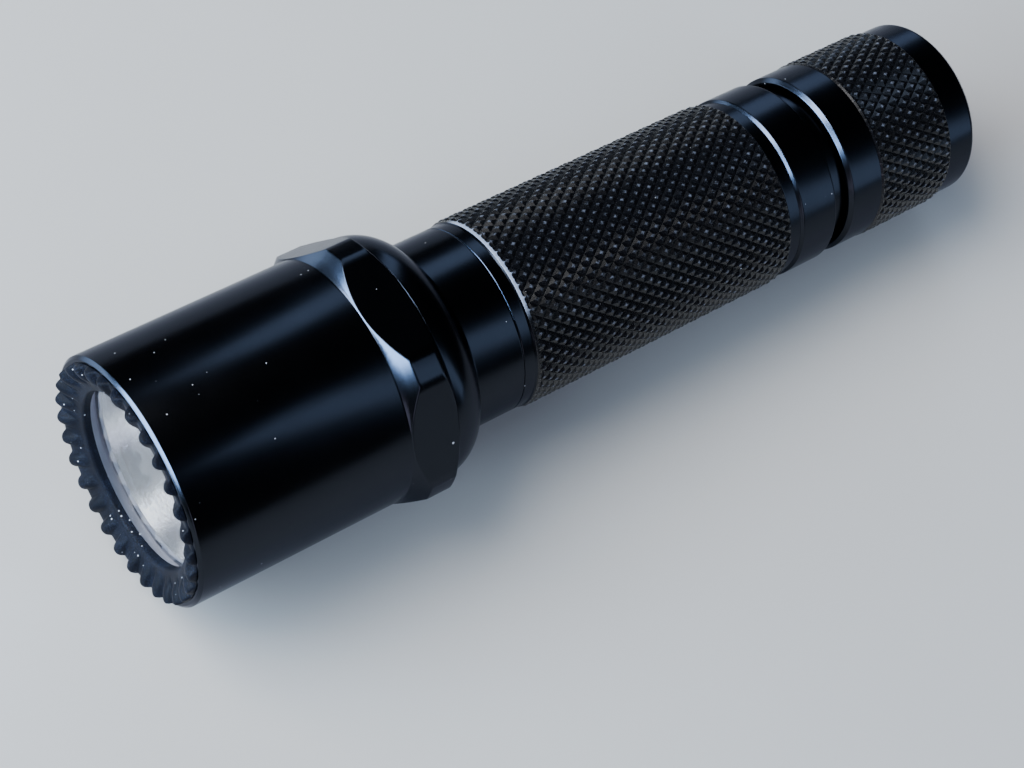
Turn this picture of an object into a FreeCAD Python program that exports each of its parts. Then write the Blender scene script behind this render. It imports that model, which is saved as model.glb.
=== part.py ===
import FreeCAD, Part
import math
import os

# Tactical flashlight, millimetres, +Z up. It lies on one flat of its hexagonal flange, with its
# axis level along X and the beam towards +X. The origin is on the ground, under the middle of the
# overall length. Stations are distances behind the front rim of the metal head, along the axis.

# ---- fits ----
thread_fit = 0.10          # radial clearance between a male thread and its bore
slide_fit = 0.30           # radial clearance between pieces that pass each other
thread_lead = 0.4          # chamfer at the free end of a male thread
small_step = 0.1           # smallest step between two turned surfaces
hole_chamfer = 0.3
contact_edge = 0.3         # chamfer of the small contacts
seat_gap = 0.05            # end gap between faces that close on each other
thread_pitch = 1.0
thread_runout = 0.5

# ---- cells and the tube round them ----
cell_radius = 8.2
cell_fit = 0.5             # radial clearance of the cells in the tube
tube_wall = 2.3
body_bore_radius = cell_radius + cell_fit
thread_radius = body_bore_radius + tube_wall
neck_radius = thread_radius + 1.3
sleeve_bore_radius = thread_radius + 0.5

# ---- head shell ----
head_radius = 16.0
head_cylinder_length = 29.0
rim_chamfer = 0.4
flange_corner_radius = head_radius + 1.7
flange_across_flats = 2 * (head_radius + 0.1)
flange_cone_length = 1.9
flange_land_length = 3.5
flange_rear_length = 1.1
flange_rear_radius = head_radius + 0.2
lamp_bore_radius = head_radius - 2.5
sleeve_start = 20.0        # station where the shell's bore widens for the neck's sleeve
sleeve_radius = head_radius - 1.6
sleeve_fit = 0.15
sleeve_cone = 1.0          # length of the cone in front of the wider bore
sleeve_float = 0.3         # the sleeve starts this far behind the wider bore

# ---- impact ring and window ----
ring_radius = head_radius - 0.8
ring_depth = 1.7
ring_mouth_radius = ring_radius - 0.9
ring_slope_depth = 0.7
tooth_count = 30
tooth_height = 1.0
tooth_radius = 0.85
tooth_inner_depth = 1.0
window_radius = lamp_bore_radius - 0.3
ring_bore_radius = window_radius - 1.9
ring_slope_radius = ring_bore_radius + 0.2
tooth_inner_radius = ring_bore_radius + 0.9
window_thickness = 1.5
window_fit = 0.10
window_chamfer = 0.2
gasket_thickness = 0.4
gasket_width = 1.0
lip_thickness = 0.8
lip_bore_radius = window_radius - 0.25

# ---- neck ----
shoulder_radius = head_radius
shoulder_land = 0.2
shoulder_length = 5.3
neck_length = 6.85
joint_chamfer = 0.15

# ---- rubber rings ----
shock_ring_width = 1.6
shock_ring_depth = 1.0
shock_ring_inset = 2.0
snap_ring_width = 1.0
snap_ring_gap = 2.0
snap_ring_inner_radius = sleeve_radius - 0.6
snap_ring_outer_radius = sleeve_radius + 0.6
seal_width = 1.3
seal_groove_depth = 1.2
seal_groove_fit = 0.1
neck_seal_inset = 0.6
tail_seal_rise = 0.2       # the tail seal stands this far out of its groove

# ---- lamp ----
reflector_radius = lamp_bore_radius - slide_fit
reflector_rim_width = 1.5
reflector_mouth_radius = reflector_radius - 1.0
reflector_nose_radius = lip_bore_radius - thread_fit   # the nose stands inside the lip
reflector_hole_radius = 2.9
reflector_length = 20.25
reflector_waist_radius = 8.6
reflector_wall = 1.3
reflector_collar_length = 2.6
reflector_waist_length = 3.0
reflector_rim_cone = 1.0
reflector_rim_drop = 0.5
base_pocket_radius = 5.5
bulb_radius = 2.4
bulb_glass = 0.4
bulb_reach = 5.6
filament_width = 1.8
filament_radius = 0.22
post_radius = 0.18
lamp_base_length = 3.5
socket_wall = 1.0
socket_flange = 0.6
socket_overlap = 1.0
lamp_contact_radius = 2.6
lamp_contact_length = 1.2

# ---- body tube ----
body_radius = neck_radius + 0.4
front_thread_length = 7.0
front_collar_length = 1.75
front_collar_chamfer = 0.4
knurl_length = 40.0
knurl_end_chamfer = 0.35
band_radius = neck_radius - 0.2
band_length = 1.7
rear_collar_radius = neck_radius + 0.1
rear_collar_length = 5.9
rear_collar_chamfer = 0.4
rear_collar_rear_chamfer = 0.2
relief_radius = thread_radius - 0.1
relief_length = 3.8
tail_thread_length = 5.9

# ---- cells ----
cell_sleeve_thickness = 0.12
cell_length = 33.5
cell_edge = 0.5
terminal_radius = 3.0
terminal_length = 1.0
terminal_edge = 0.25
cell_pocket = 0.5          # the front terminal stands this far behind the tube's front end

# ---- tail cap ----
cap_gap = 2.7              # open gap in front of the cap, which is backed off its thread
cap_tighten_turns = 2.5
cap_radius = thread_radius + 1.25
cap_length = 22.7
cap_front_chamfer = 0.5
cap_smooth_length = 5.4
cap_knurl_radius = cap_radius + 0.2
cap_knurl_length = 12.5
cap_knurl_chamfer = 0.35
cap_end_radius = cap_radius - 0.25
cap_end_chamfer = 0.7
cap_skirt_bore_radius = thread_radius + 0.3
cap_chamber_radius = thread_radius - 0.6
cap_pocket_radius = cap_chamber_radius - 0.8
cap_pocket_length = 2.9
cap_wall = 4.0
button_hole_radius = cap_pocket_radius - 1.5

# ---- switch ----
button_travel = 1.5
button_fit = 0.15
button_recess = 0.5
button_dish = 0.5
button_edge = 0.5
button_rim_width = 0.9
button_flange_radius = cap_pocket_radius - 0.3
button_flange_thickness = 1.3
slip_ring_thickness = 0.5
button_seal_width = 1.0
button_seal_inset = 0.3
button_seal_depth = 0.8
seal_slack = 0.02
contact_disc_radius = cap_pocket_radius - 0.8
plunger_radius = contact_disc_radius - 2.8
plunger_length = 1.4
contact_disc_thickness = 0.8
tail_wire = 0.35
lamp_wire = 0.4
contact_coil_radius = cap_chamber_radius - 0.8
contact_coil_turns = 1.6
tail_coil_disc_radius = 6.2
tail_coil_cell_radius = 3.4
tail_coil_turns = 2.2
outer_coil_turns = 3.2
centre_coil_base_radius = 1.9
centre_coil_cell_radius = 2.3
centre_coil_turns = 4.2
coil_inset = 0.5           # the contact spring starts this far inside the disc's edge
coil_stand = 0.7           # the lamp's outer spring starts this far outside the lamp's waist
runs_per_turn = 12

# ---- stations worked out from the sizes above ----
flange_start = head_cylinder_length
flange_land_start = flange_start + flange_cone_length
flange_land_end = flange_land_start + flange_land_length
head_end = flange_land_end + flange_rear_length
window_front = ring_depth + seat_gap
window_rear = window_front + window_thickness
lip_front = window_rear + gasket_thickness
lip_rear = lip_front + lip_thickness
shoulder_start = head_end + 2 * seat_gap
shoulder_curve_start = shoulder_start + shoulder_land
shoulder_end = shoulder_curve_start + shoulder_length
neck_end = shoulder_end + neck_length
body_shoulder = neck_end + seat_gap
body_front = body_shoulder - front_thread_length
knurl_start = body_shoulder + front_collar_length + front_collar_chamfer
knurl_end = knurl_start + knurl_length
rear_collar_start = knurl_end + knurl_end_chamfer + band_length
rear_collar_end = rear_collar_start + rear_collar_length
tail_seal_start = rear_collar_end + relief_length
tail_thread_start = tail_seal_start + seal_width + 2 * seal_groove_fit
body_rear = tail_thread_start + tail_thread_length
front_cell_start = body_front + cell_pocket
rear_cell_start = front_cell_start + terminal_length + cell_length
cells_end = rear_cell_start + terminal_length + cell_length
cap_front = rear_collar_end + cap_gap
cap_end = cap_front + cap_length
cap_thread_start = tail_seal_start + seal_width + cap_tighten_turns * thread_pitch + slide_fit
cap_chamber_start = body_rear + cap_tighten_turns * thread_pitch + slide_fit
cap_wall_start = cap_end - cap_wall
cap_pocket_start = cap_wall_start - cap_pocket_length
slip_ring_start = cap_wall_start - seat_gap - slip_ring_thickness
button_flange_start = slip_ring_start - seat_gap - button_flange_thickness
button_seal_start = cap_end - button_recess - button_edge - button_seal_inset - button_seal_width
plunger_start = button_flange_start - plunger_length
contact_disc_start = plunger_start - contact_disc_thickness
reflector_front = lip_front + seat_gap
reflector_rim_start = lip_rear + seat_gap
reflector_rear = reflector_front + reflector_length
socket_start = reflector_rear + reflector_collar_length
socket_end = socket_start + lamp_base_length
overall_length = tooth_height + cap_end
rim_x = overall_length / 2 - tooth_height
axis_height = flange_across_flats / 2
neck_seal_start = body_shoulder - seal_width - 2 * seal_groove_fit - neck_seal_inset

axis_point = FreeCAD.Vector(0, 0, axis_height)
axis_direction = FreeCAD.Vector(1, 0, 0)


def place(station, radius):
    """The point above the axis at a station and a radius."""
    return FreeCAD.Vector(rim_x - station, 0, axis_height + radius)


def revolve(edges):
    """Turn a closed outline about the axis into a solid."""
    face = Part.Face(Part.Wire(edges))
    solid = face.revolve(axis_point, axis_direction, 360)
    return solid


def turned(*outline):
    """A turned solid from the corners of its outline, each a station and a radius."""
    points = [place(station, radius) for station, radius in outline]
    edges = [Part.makeLine(a, b) for a, b in zip(points, points[1:] + points[:1])]
    return revolve(edges)


def ring(start, end, inner, outer, edge=0.0):
    """A plain ring between two stations, with its outer corners chamfered."""
    if edge == 0.0:
        return turned((start, inner), (start, outer), (end, outer), (end, inner))
    return turned((start, inner), (start, outer - edge), (start + edge, outer),
                  (end - edge, outer), (end, outer - edge), (end, inner))


def seal(start, width, inner, depth):
    """A rubber ring of oval section that fills a groove of this width and depth."""
    middle = start + width / 2
    left = place(start, inner + depth / 2)
    top = place(middle, inner + depth)
    right = place(start + width, inner + depth / 2)
    bottom = place(middle, inner)
    arc_over = Part.Arc(left, top, right).toShape()
    arc_under = Part.Arc(right, bottom, left).toShape()
    return revolve([arc_over, arc_under])


def coil(start, end, radius_start, radius_end, turns, wire):
    """A round-wire spring between two stations, as short straight runs with mitred joints."""
    side = 1 if end > start else -1
    first = start + side * wire
    last = end - side * wire
    count = round(turns * runs_per_turn)
    points = []
    for index in range(count + 1):
        share = index / count
        angle = 2 * math.pi * turns * share
        radius = radius_start + (radius_end - radius_start) * share
        x = rim_x - (first + (last - first) * share)
        points.append(FreeCAD.Vector(x, radius * math.sin(angle),
                                     axis_height + radius * math.cos(angle)))
    section = Part.Circle(points[0], points[1].sub(points[0]), wire).toShape()
    mitred = 1
    return Part.makePolygon(points).makePipeShell([Part.Wire([section])], True, False, mitred)


def make_impact_ring():
    """Rubber ring in the mouth: thirty rounded ribs stand on a face that slopes to the window."""
    base = turned((0, ring_radius), (ring_depth, ring_radius), (ring_depth, ring_bore_radius),
                  (ring_slope_depth, ring_slope_radius), (-small_step, ring_mouth_radius),
                  (-small_step, ring_radius - small_step))
    rib_end = place(tooth_inner_depth, tooth_inner_radius)
    rib_crown = place(tooth_radius - tooth_height, ring_radius)
    along = rib_end.sub(rib_crown)
    rib_start = rib_crown.sub(along.normalize())
    along = rib_end.sub(rib_start)
    rib = Part.makeCylinder(tooth_radius, along.Length, rib_start, along)
    ribs = []
    for index in range(tooth_count):
        copy = rib.copy()
        copy.rotate(axis_point, axis_direction, index * 360.0 / tooth_count)
        ribs.append(copy)
    toothed = base.multiFuse(ribs)
    envelope = ring(-tooth_height, ring_depth, ring_bore_radius, ring_radius, small_step)
    return toothed.common(envelope).removeSplitter()


def make_bezel_shell():
    """Aluminium head: a long cylinder that ends in a flange with six flats against rolling."""
    snap_start = snap_ring_station()
    outside = turned(
        (0, ring_radius), (0, head_radius - rim_chamfer), (rim_chamfer, head_radius),
        (flange_start, head_radius), (flange_land_start, flange_corner_radius),
        (flange_land_end, flange_corner_radius), (head_end, flange_rear_radius),
        (head_end, sleeve_radius + sleeve_fit), (sleeve_start, sleeve_radius + sleeve_fit),
        (sleeve_start - sleeve_cone, lamp_bore_radius), (lip_rear, lamp_bore_radius),
        (lip_rear, lip_bore_radius), (lip_front, lip_bore_radius),
        (lip_front, window_radius + window_fit), (ring_depth, window_radius + window_fit),
        (ring_depth, ring_radius))
    corner = flange_across_flats / 2 / math.cos(math.radians(30))
    corners = []
    for index in range(7):
        angle = math.radians(60 * index)
        corners.append(FreeCAD.Vector(0, corner * math.cos(angle),
                                      axis_height + corner * math.sin(angle)))
    hexagon = Part.Face(Part.makePolygon(corners))
    prism = hexagon.extrude(FreeCAD.Vector(head_end + 2, 0, 0))
    prism.translate(FreeCAD.Vector(rim_x - head_end - 1, 0, 0))
    groove = ring(snap_start, snap_start + snap_ring_width, sleeve_radius, snap_ring_outer_radius)
    return outside.common(prism).cut(groove)


def snap_ring_station():
    """The front face of the snap ring, half way along the neck's sleeve."""
    return (sleeve_start + head_end) / 2 - snap_ring_width / 2


def shock_ring_stations():
    """The front faces of the two shock rings on the neck's sleeve."""
    front = sleeve_start + shock_ring_inset
    rear = head_end - shock_ring_inset - shock_ring_width
    return front, rear


def make_head_neck():
    """Shoulder, neck and the sleeve on which the head floats; the body screws into its rear."""
    chamber_end = body_front - seat_gap - thread_runout
    fall = shoulder_radius - neck_radius
    curve_radius = (fall ** 2 + shoulder_length ** 2) / (2 * fall)
    half_turn = math.asin(shoulder_length / curve_radius) / 2
    curve_mid = place(shoulder_curve_start + curve_radius * math.sin(half_turn),
                      shoulder_radius - curve_radius * (1 - math.cos(half_turn)))
    sleeve_front = sleeve_start + sleeve_float
    outline = [place(sleeve_front, sleeve_bore_radius), place(sleeve_front, sleeve_radius),
               place(head_end + seat_gap, sleeve_radius),
               place(head_end + seat_gap, shoulder_radius - small_step),
               place(shoulder_start, shoulder_radius), place(shoulder_curve_start, shoulder_radius)]
    after = [place(shoulder_end, neck_radius), place(neck_end - joint_chamfer, neck_radius),
             place(neck_end, neck_radius - joint_chamfer),
             place(neck_end, thread_radius + thread_fit),
             place(chamber_end, thread_radius + thread_fit),
             place(chamber_end, sleeve_bore_radius)]
    edges = [Part.makeLine(a, b) for a, b in zip(outline, outline[1:])]
    edges.append(Part.Arc(outline[-1], curve_mid, after[0]).toShape())
    edges += [Part.makeLine(a, b) for a, b in zip(after, after[1:] + outline[:1])]
    neck = revolve(edges)
    for start in shock_ring_stations():
        neck = neck.cut(ring(start, start + shock_ring_width,
                             sleeve_radius - shock_ring_depth, sleeve_radius + 1))
    snap_start = snap_ring_station()
    return neck.cut(ring(snap_start, snap_start + snap_ring_width,
                         snap_ring_inner_radius, sleeve_radius + 1))


def make_shock_ring(start):
    """A rubber ring between the neck's sleeve and the head, which takes up a knock."""
    return seal(start, shock_ring_width, sleeve_radius - shock_ring_depth,
                shock_ring_depth + sleeve_fit)


def make_snap_ring():
    """Split wire ring that keeps the head on the neck."""
    start = snap_ring_station()
    whole = ring(start, start + snap_ring_width, snap_ring_inner_radius, snap_ring_outer_radius)
    gap = Part.makeBox(snap_ring_width + 2, snap_ring_gap, snap_ring_outer_radius + 2,
                       FreeCAD.Vector(rim_x - start - snap_ring_width - 1, -snap_ring_gap / 2,
                                      axis_height))
    return whole.cut(gap)


def make_window():
    """Thick glass disc with both edges ground."""
    chamfer = window_chamfer
    return turned((window_front, 0), (window_front, window_radius - chamfer),
                  (window_front + chamfer, window_radius), (window_rear - chamfer, window_radius),
                  (window_rear, window_radius - chamfer), (window_rear, 0))


def make_window_gasket():
    """Rubber gasket between the window and the lip behind it."""
    return ring(window_rear, lip_front, window_radius - gasket_width, window_radius)


def reflector_curve():
    """Vertex station and four times the focal length of the parabola through mouth and hole."""
    widths = reflector_mouth_radius ** 2 - reflector_hole_radius ** 2
    four_focal = widths / reflector_length
    vertex = reflector_rear + reflector_hole_radius ** 2 / four_focal
    return vertex, four_focal


def make_reflector():
    """Aluminium reflector: parabolic bowl, a nose inside the lip, a rim and a collar at its back."""
    vertex, four_focal = reflector_curve()
    bowl_points = []
    steps = 12
    for index in range(steps + 1):
        share = index / steps
        radius = reflector_mouth_radius + (reflector_hole_radius - reflector_mouth_radius) * share
        bowl_points.append(place(vertex - radius ** 2 / four_focal, radius))
    bowl = Part.BSplineCurve()
    bowl.interpolate(bowl_points)
    pocket = reflector_rear + reflector_wall
    rest = [bowl_points[-1], place(pocket, reflector_hole_radius), place(pocket, base_pocket_radius),
            place(socket_start, base_pocket_radius), place(socket_start, reflector_waist_radius),
            place(reflector_rear - reflector_waist_length, reflector_waist_radius),
            place(reflector_rim_start + reflector_rim_width + reflector_rim_cone,
                  reflector_radius - reflector_rim_drop),
            place(reflector_rim_start + reflector_rim_width, reflector_radius),
            place(reflector_rim_start, reflector_radius),
            place(reflector_rim_start, reflector_nose_radius),
            place(reflector_front, reflector_nose_radius), bowl_points[0]]
    edges = [bowl.toShape()]
    edges += [Part.makeLine(a, b) for a, b in zip(rest, rest[1:])]
    return revolve(edges)


def bulb_tip():
    """The station of the bulb's front tip."""
    return reflector_rear + reflector_wall - bulb_reach - bulb_radius


def make_bulb_envelope():
    """Glass envelope of the bulb: a tube with a domed front end."""
    tip = bulb_tip()
    end = reflector_rear + reflector_wall
    outer = turned((tip + bulb_radius, 0), (tip + bulb_radius, bulb_radius), (end, bulb_radius),
                   (end, 0))
    outer = outer.fuse(Part.makeSphere(bulb_radius, place(tip + bulb_radius, 0)))
    inner_radius = bulb_radius - bulb_glass
    inner = turned((tip + bulb_radius, 0), (tip + bulb_radius, inner_radius), (end, inner_radius),
                   (end, 0))
    inner = inner.fuse(Part.makeSphere(inner_radius, place(tip + bulb_radius, 0)))
    return outer.cut(inner).removeSplitter()


def filament_station():
    """The filament stands at the focus of the bowl."""
    vertex, four_focal = reflector_curve()
    return vertex - four_focal / 4


def make_filament():
    """Straight coiled filament across the axis, at the focus; here its plain outer cylinder."""
    start = place(filament_station(), 0).add(FreeCAD.Vector(0, -filament_width / 2, 0))
    return Part.makeCylinder(filament_radius, filament_width, start, FreeCAD.Vector(0, 1, 0))


def make_filament_posts():
    """The two support wires that carry the filament."""
    end = reflector_rear + reflector_wall
    length = end - filament_station() - filament_radius
    posts = []
    for side in (-1, 1):
        foot = place(end, 0).add(FreeCAD.Vector(0, side * (filament_width / 2 - post_radius), 0))
        posts.append(Part.makeCylinder(post_radius, length, foot, axis_direction))
    return Part.makeCompound(posts)


def make_lamp_base():
    """Ceramic base of the bulb: a spigot in the reflector's pocket and a wider body behind."""
    front = reflector_rear + reflector_wall
    body = reflector_waist_radius - seat_gap
    return turned((front, 0), (front, base_pocket_radius), (socket_start, base_pocket_radius),
                  (socket_start, body), (socket_end, body), (socket_end, 0))


def make_lamp_socket():
    """Brass ring round the base, with a flange at its rear that seats the outer spring."""
    inner = reflector_waist_radius
    outer = inner + socket_wall
    front = reflector_rear - socket_overlap
    return turned((front, inner), (front, outer), (socket_end - socket_flange, outer),
                  (socket_end - socket_flange, outer + socket_flange),
                  (socket_end, outer + socket_flange), (socket_end, inner - seat_gap),
                  (socket_end - seat_gap, inner - seat_gap), (socket_end - seat_gap, inner))


def make_lamp_contact():
    """Brass centre contact of the lamp."""
    edge = contact_edge
    end = socket_end + lamp_contact_length
    return turned((socket_end, 0), (socket_end, lamp_contact_radius),
                  (end - edge, lamp_contact_radius), (end, lamp_contact_radius - edge), (end, 0))


def make_body_tube():
    """Body tube: front and rear threads, seal grooves, the gripping stretch and two collars."""
    tube = turned(
        (body_front, body_bore_radius), (body_front, thread_radius - thread_lead),
        (body_front + thread_lead, thread_radius), (body_shoulder, thread_radius),
        (body_shoulder, neck_radius - joint_chamfer), (body_shoulder + joint_chamfer, neck_radius),
        (body_shoulder + front_collar_length, neck_radius), (knurl_start, body_radius),
        (knurl_end, body_radius), (knurl_end + knurl_end_chamfer, band_radius),
        (rear_collar_start, band_radius),
        (rear_collar_start, rear_collar_radius - rear_collar_chamfer),
        (rear_collar_start + rear_collar_chamfer, rear_collar_radius),
        (rear_collar_end - rear_collar_rear_chamfer, rear_collar_radius),
        (rear_collar_end, rear_collar_radius - rear_collar_rear_chamfer),
        (rear_collar_end, relief_radius), (tail_thread_start, relief_radius),
        (tail_thread_start + small_step, thread_radius), (body_rear - thread_lead, thread_radius),
        (body_rear, thread_radius - thread_lead), (body_rear, body_bore_radius))
    neck_groove = seal_groove(neck_seal_start, thread_radius)
    tail_groove = seal_groove(tail_seal_start, relief_radius)
    return tube.cut(neck_groove).cut(tail_groove)


def seal_groove(start, surface):
    """The groove for a seal, cut into a surface of this radius."""
    return ring(start, start + seal_width + 2 * seal_groove_fit,
                surface - seal_groove_depth, surface + 1)


def make_neck_seal():
    """Rubber ring that seals the head on the body."""
    return seal(neck_seal_start + seal_groove_fit, seal_width,
                thread_radius - seal_groove_depth, seal_groove_depth)


def make_tail_seal():
    """Rubber ring that seals the tail cap while it is turned."""
    return seal(tail_seal_start + seal_groove_fit, seal_width,
                relief_radius - seal_groove_depth, seal_groove_depth + tail_seal_rise)


def make_cell_can(start):
    """Steel can of one cell, behind its front terminal."""
    front = start + terminal_length
    return ring(front, front + cell_length, 0, cell_radius, cell_edge)


def make_cell_sleeve(start):
    """Plain wrap round the can."""
    front = start + terminal_length + cell_edge
    return ring(front, front + cell_length - 2 * cell_edge, cell_radius,
                cell_radius + cell_sleeve_thickness)


def make_cell_terminal(start):
    """Raised front terminal of one cell."""
    edge = terminal_edge
    end = start + terminal_length
    return turned((start, 0), (start, terminal_radius - edge), (start + edge, terminal_radius),
                  (end, terminal_radius), (end, 0))


def make_tail_cap():
    """Tail cap: skirt over the seal, thread, switch chamber and a rear wall round the button."""
    knurl_front = cap_front + cap_smooth_length
    knurl_rear = knurl_front + cap_knurl_length
    rise = cap_knurl_radius - cap_radius
    return turned(
        (cap_front, cap_skirt_bore_radius), (cap_front, cap_radius - cap_front_chamfer),
        (cap_front + cap_front_chamfer, cap_radius), (knurl_front, cap_radius),
        (knurl_front + rise, cap_knurl_radius), (knurl_rear - cap_knurl_chamfer, cap_knurl_radius),
        (knurl_rear, cap_end_radius), (cap_end - cap_end_chamfer, cap_end_radius),
        (cap_end, cap_end_radius - cap_end_chamfer), (cap_end, button_hole_radius + hole_chamfer),
        (cap_end - hole_chamfer, button_hole_radius), (cap_wall_start, button_hole_radius),
        (cap_wall_start, cap_pocket_radius), (cap_pocket_start, cap_pocket_radius),
        (cap_pocket_start, cap_chamber_radius), (cap_chamber_start, cap_chamber_radius),
        (cap_chamber_start, thread_radius + thread_fit),
        (cap_thread_start, thread_radius + thread_fit), (cap_thread_start, cap_skirt_bore_radius))


def make_slip_ring():
    """Slippery washer between the button's flange and the cap, so that only the cap turns."""
    return ring(slip_ring_start, slip_ring_start + slip_ring_thickness,
                button_hole_radius + small_step, cap_pocket_radius - small_step)


def make_push_button():
    """Push button: a stem through the rear wall with a dished face, and the flange that holds it."""
    radius = button_hole_radius - button_fit
    flange_end = button_flange_start + button_flange_thickness
    face = cap_end - button_recess
    groove_start = button_seal_start
    edge = button_edge
    rim_radius = radius - edge - button_rim_width
    outline = [place(button_flange_start, 0), place(button_flange_start, button_flange_radius),
               place(flange_end, button_flange_radius), place(flange_end, radius),
               place(groove_start, radius), place(groove_start, radius - button_seal_depth),
               place(groove_start + button_seal_width, radius - button_seal_depth),
               place(groove_start + button_seal_width, radius), place(face - edge, radius),
               place(face, radius - edge), place(face, rim_radius)]
    centre = place(face - button_dish, 0)
    dish_radius = (rim_radius ** 2 + button_dish ** 2) / (2 * button_dish)
    middle_radius = rim_radius / 2
    middle_depth = button_dish - dish_radius + math.sqrt(dish_radius ** 2 - middle_radius ** 2)
    middle = place(face - middle_depth, middle_radius)
    edges = [Part.makeLine(a, b) for a, b in zip(outline, outline[1:])]
    edges.append(Part.Arc(outline[-1], middle, centre).toShape())
    edges.append(Part.makeLine(centre, outline[0]))
    return revolve(edges)


def make_button_seal():
    """Rubber ring that seals the button in its hole."""
    radius = button_hole_radius - button_fit
    return seal(button_seal_start, button_seal_width, radius - button_seal_depth,
                button_seal_depth + button_fit - seal_slack)


def make_plunger():
    """Insulating plunger between the button and the contact disc."""
    return ring(plunger_start, button_flange_start, 0, plunger_radius)


def make_contact_disc():
    """Brass disc that the plunger carries; both tail springs stand on it."""
    return ring(contact_disc_start, plunger_start, 0, contact_disc_radius)


def make_tail_spring():
    """Spring between the rear cell and the contact disc."""
    return coil(contact_disc_start - seat_gap, cells_end + seat_gap, tail_coil_disc_radius,
                tail_coil_cell_radius, tail_coil_turns, tail_wire)


def make_contact_spring():
    """Wide spring on the disc's edge; its free coil meets the tube's end when the switch closes."""
    free_end = body_rear + cap_tighten_turns * thread_pitch + seat_gap
    return coil(contact_disc_start - seat_gap, free_end, contact_disc_radius - coil_inset,
                contact_coil_radius, contact_coil_turns, tail_wire)


def make_lamp_outer_spring():
    """Spring between the lamp's socket and the front end of the tube."""
    return coil(socket_end + seat_gap, body_front - seat_gap, reflector_waist_radius + coil_stand,
                (body_bore_radius + thread_radius) / 2, outer_coil_turns, lamp_wire)


def make_lamp_centre_spring():
    """Spring between the lamp's centre contact and the front cell."""
    start = socket_end + lamp_contact_length + seat_gap
    return coil(start, front_cell_start - seat_gap, centre_coil_base_radius,
                centre_coil_cell_radius, centre_coil_turns, lamp_wire)


def build():
    """Every piece of the flashlight by its name."""
    shock_front, shock_rear = shock_ring_stations()
    pieces = {
        "impact_ring": make_impact_ring(),
        "bezel_shell": make_bezel_shell(),
        "window": make_window(),
        "window_gasket": make_window_gasket(),
        "snap_ring": make_snap_ring(),
        "front_shock_ring": make_shock_ring(shock_front),
        "rear_shock_ring": make_shock_ring(shock_rear),
        "head_neck": make_head_neck(),
        "reflector": make_reflector(),
        "bulb_envelope": make_bulb_envelope(),
        "filament": make_filament(),
        "filament_posts": make_filament_posts(),
        "lamp_base": make_lamp_base(),
        "lamp_socket": make_lamp_socket(),
        "lamp_contact": make_lamp_contact(),
        "lamp_outer_spring": make_lamp_outer_spring(),
        "lamp_centre_spring": make_lamp_centre_spring(),
        "body_tube": make_body_tube(),
        "neck_seal": make_neck_seal(),
        "tail_seal": make_tail_seal(),
        "tail_cap": make_tail_cap(),
        "slip_ring": make_slip_ring(),
        "push_button": make_push_button(),
        "button_seal": make_button_seal(),
        "button_plunger": make_plunger(),
        "contact_disc": make_contact_disc(),
        "tail_spring": make_tail_spring(),
        "contact_spring": make_contact_spring(),
    }
    for name, start in (("front_cell", front_cell_start), ("rear_cell", rear_cell_start)):
        pieces[name + "_can"] = make_cell_can(start)
        pieces[name + "_sleeve"] = make_cell_sleeve(start)
        pieces[name + "_terminal"] = make_cell_terminal(start)
    return pieces


os.makedirs("parts", exist_ok=True)
for name, shape in build().items():
    shape.exportStep("parts/" + name + ".step")
    print(name, "valid", shape.isValid(), "solids", len(shape.Solids), "volume", round(shape.Volume, 1))
print("overall length", round(overall_length, 2))
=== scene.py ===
"""Visual model of a tactical flashlight: turned aluminium shells, diamond knurling, seals, springs
and the lamp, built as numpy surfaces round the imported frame.

Lengths inside the classes are millimetres; MM turns them into metres where a mesh is made. The
axis of the light runs along X, towards the beam, at the height of the middle of the head.
"""
import logging
import math
from dataclasses import dataclass
from enum import Enum

import bmesh
import bpy
import numpy as np
from mathutils import Matrix, Vector


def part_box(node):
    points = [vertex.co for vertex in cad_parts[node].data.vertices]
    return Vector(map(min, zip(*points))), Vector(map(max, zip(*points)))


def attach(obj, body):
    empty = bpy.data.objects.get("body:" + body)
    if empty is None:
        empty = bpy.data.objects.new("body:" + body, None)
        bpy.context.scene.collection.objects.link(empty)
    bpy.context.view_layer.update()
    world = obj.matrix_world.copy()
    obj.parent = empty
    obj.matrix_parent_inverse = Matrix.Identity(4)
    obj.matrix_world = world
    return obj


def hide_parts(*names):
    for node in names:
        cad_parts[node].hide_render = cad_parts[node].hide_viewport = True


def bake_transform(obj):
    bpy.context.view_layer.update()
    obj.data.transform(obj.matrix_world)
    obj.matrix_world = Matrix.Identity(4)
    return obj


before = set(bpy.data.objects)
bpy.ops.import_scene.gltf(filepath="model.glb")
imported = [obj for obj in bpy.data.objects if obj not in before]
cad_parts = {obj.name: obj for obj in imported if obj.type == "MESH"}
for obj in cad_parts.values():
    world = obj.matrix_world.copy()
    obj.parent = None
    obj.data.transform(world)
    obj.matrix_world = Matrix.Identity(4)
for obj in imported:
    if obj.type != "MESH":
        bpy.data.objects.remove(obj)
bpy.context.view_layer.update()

log = logging.getLogger("flashlight")
MM = 0.001
AXIS_HEIGHT = (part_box("bezel_shell")[0][2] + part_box("bezel_shell")[1][2]) / 2
TURN = 2 * math.pi
FAR_AWAY = 1.0  # a place along X, in metres, that no piece reaches
PAINTED_HIGHLIGHT_WAY = (0.0, -0.17, 0.985)  # from the axis towards the side whose edges get a painted highlight


class Shading(Enum):
    """How the faces of a mesh are shaded."""
    SMOOTH = "smooth"
    FACETED = "faceted"


# ---------------------------------------------------------------------------- meshes


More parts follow.
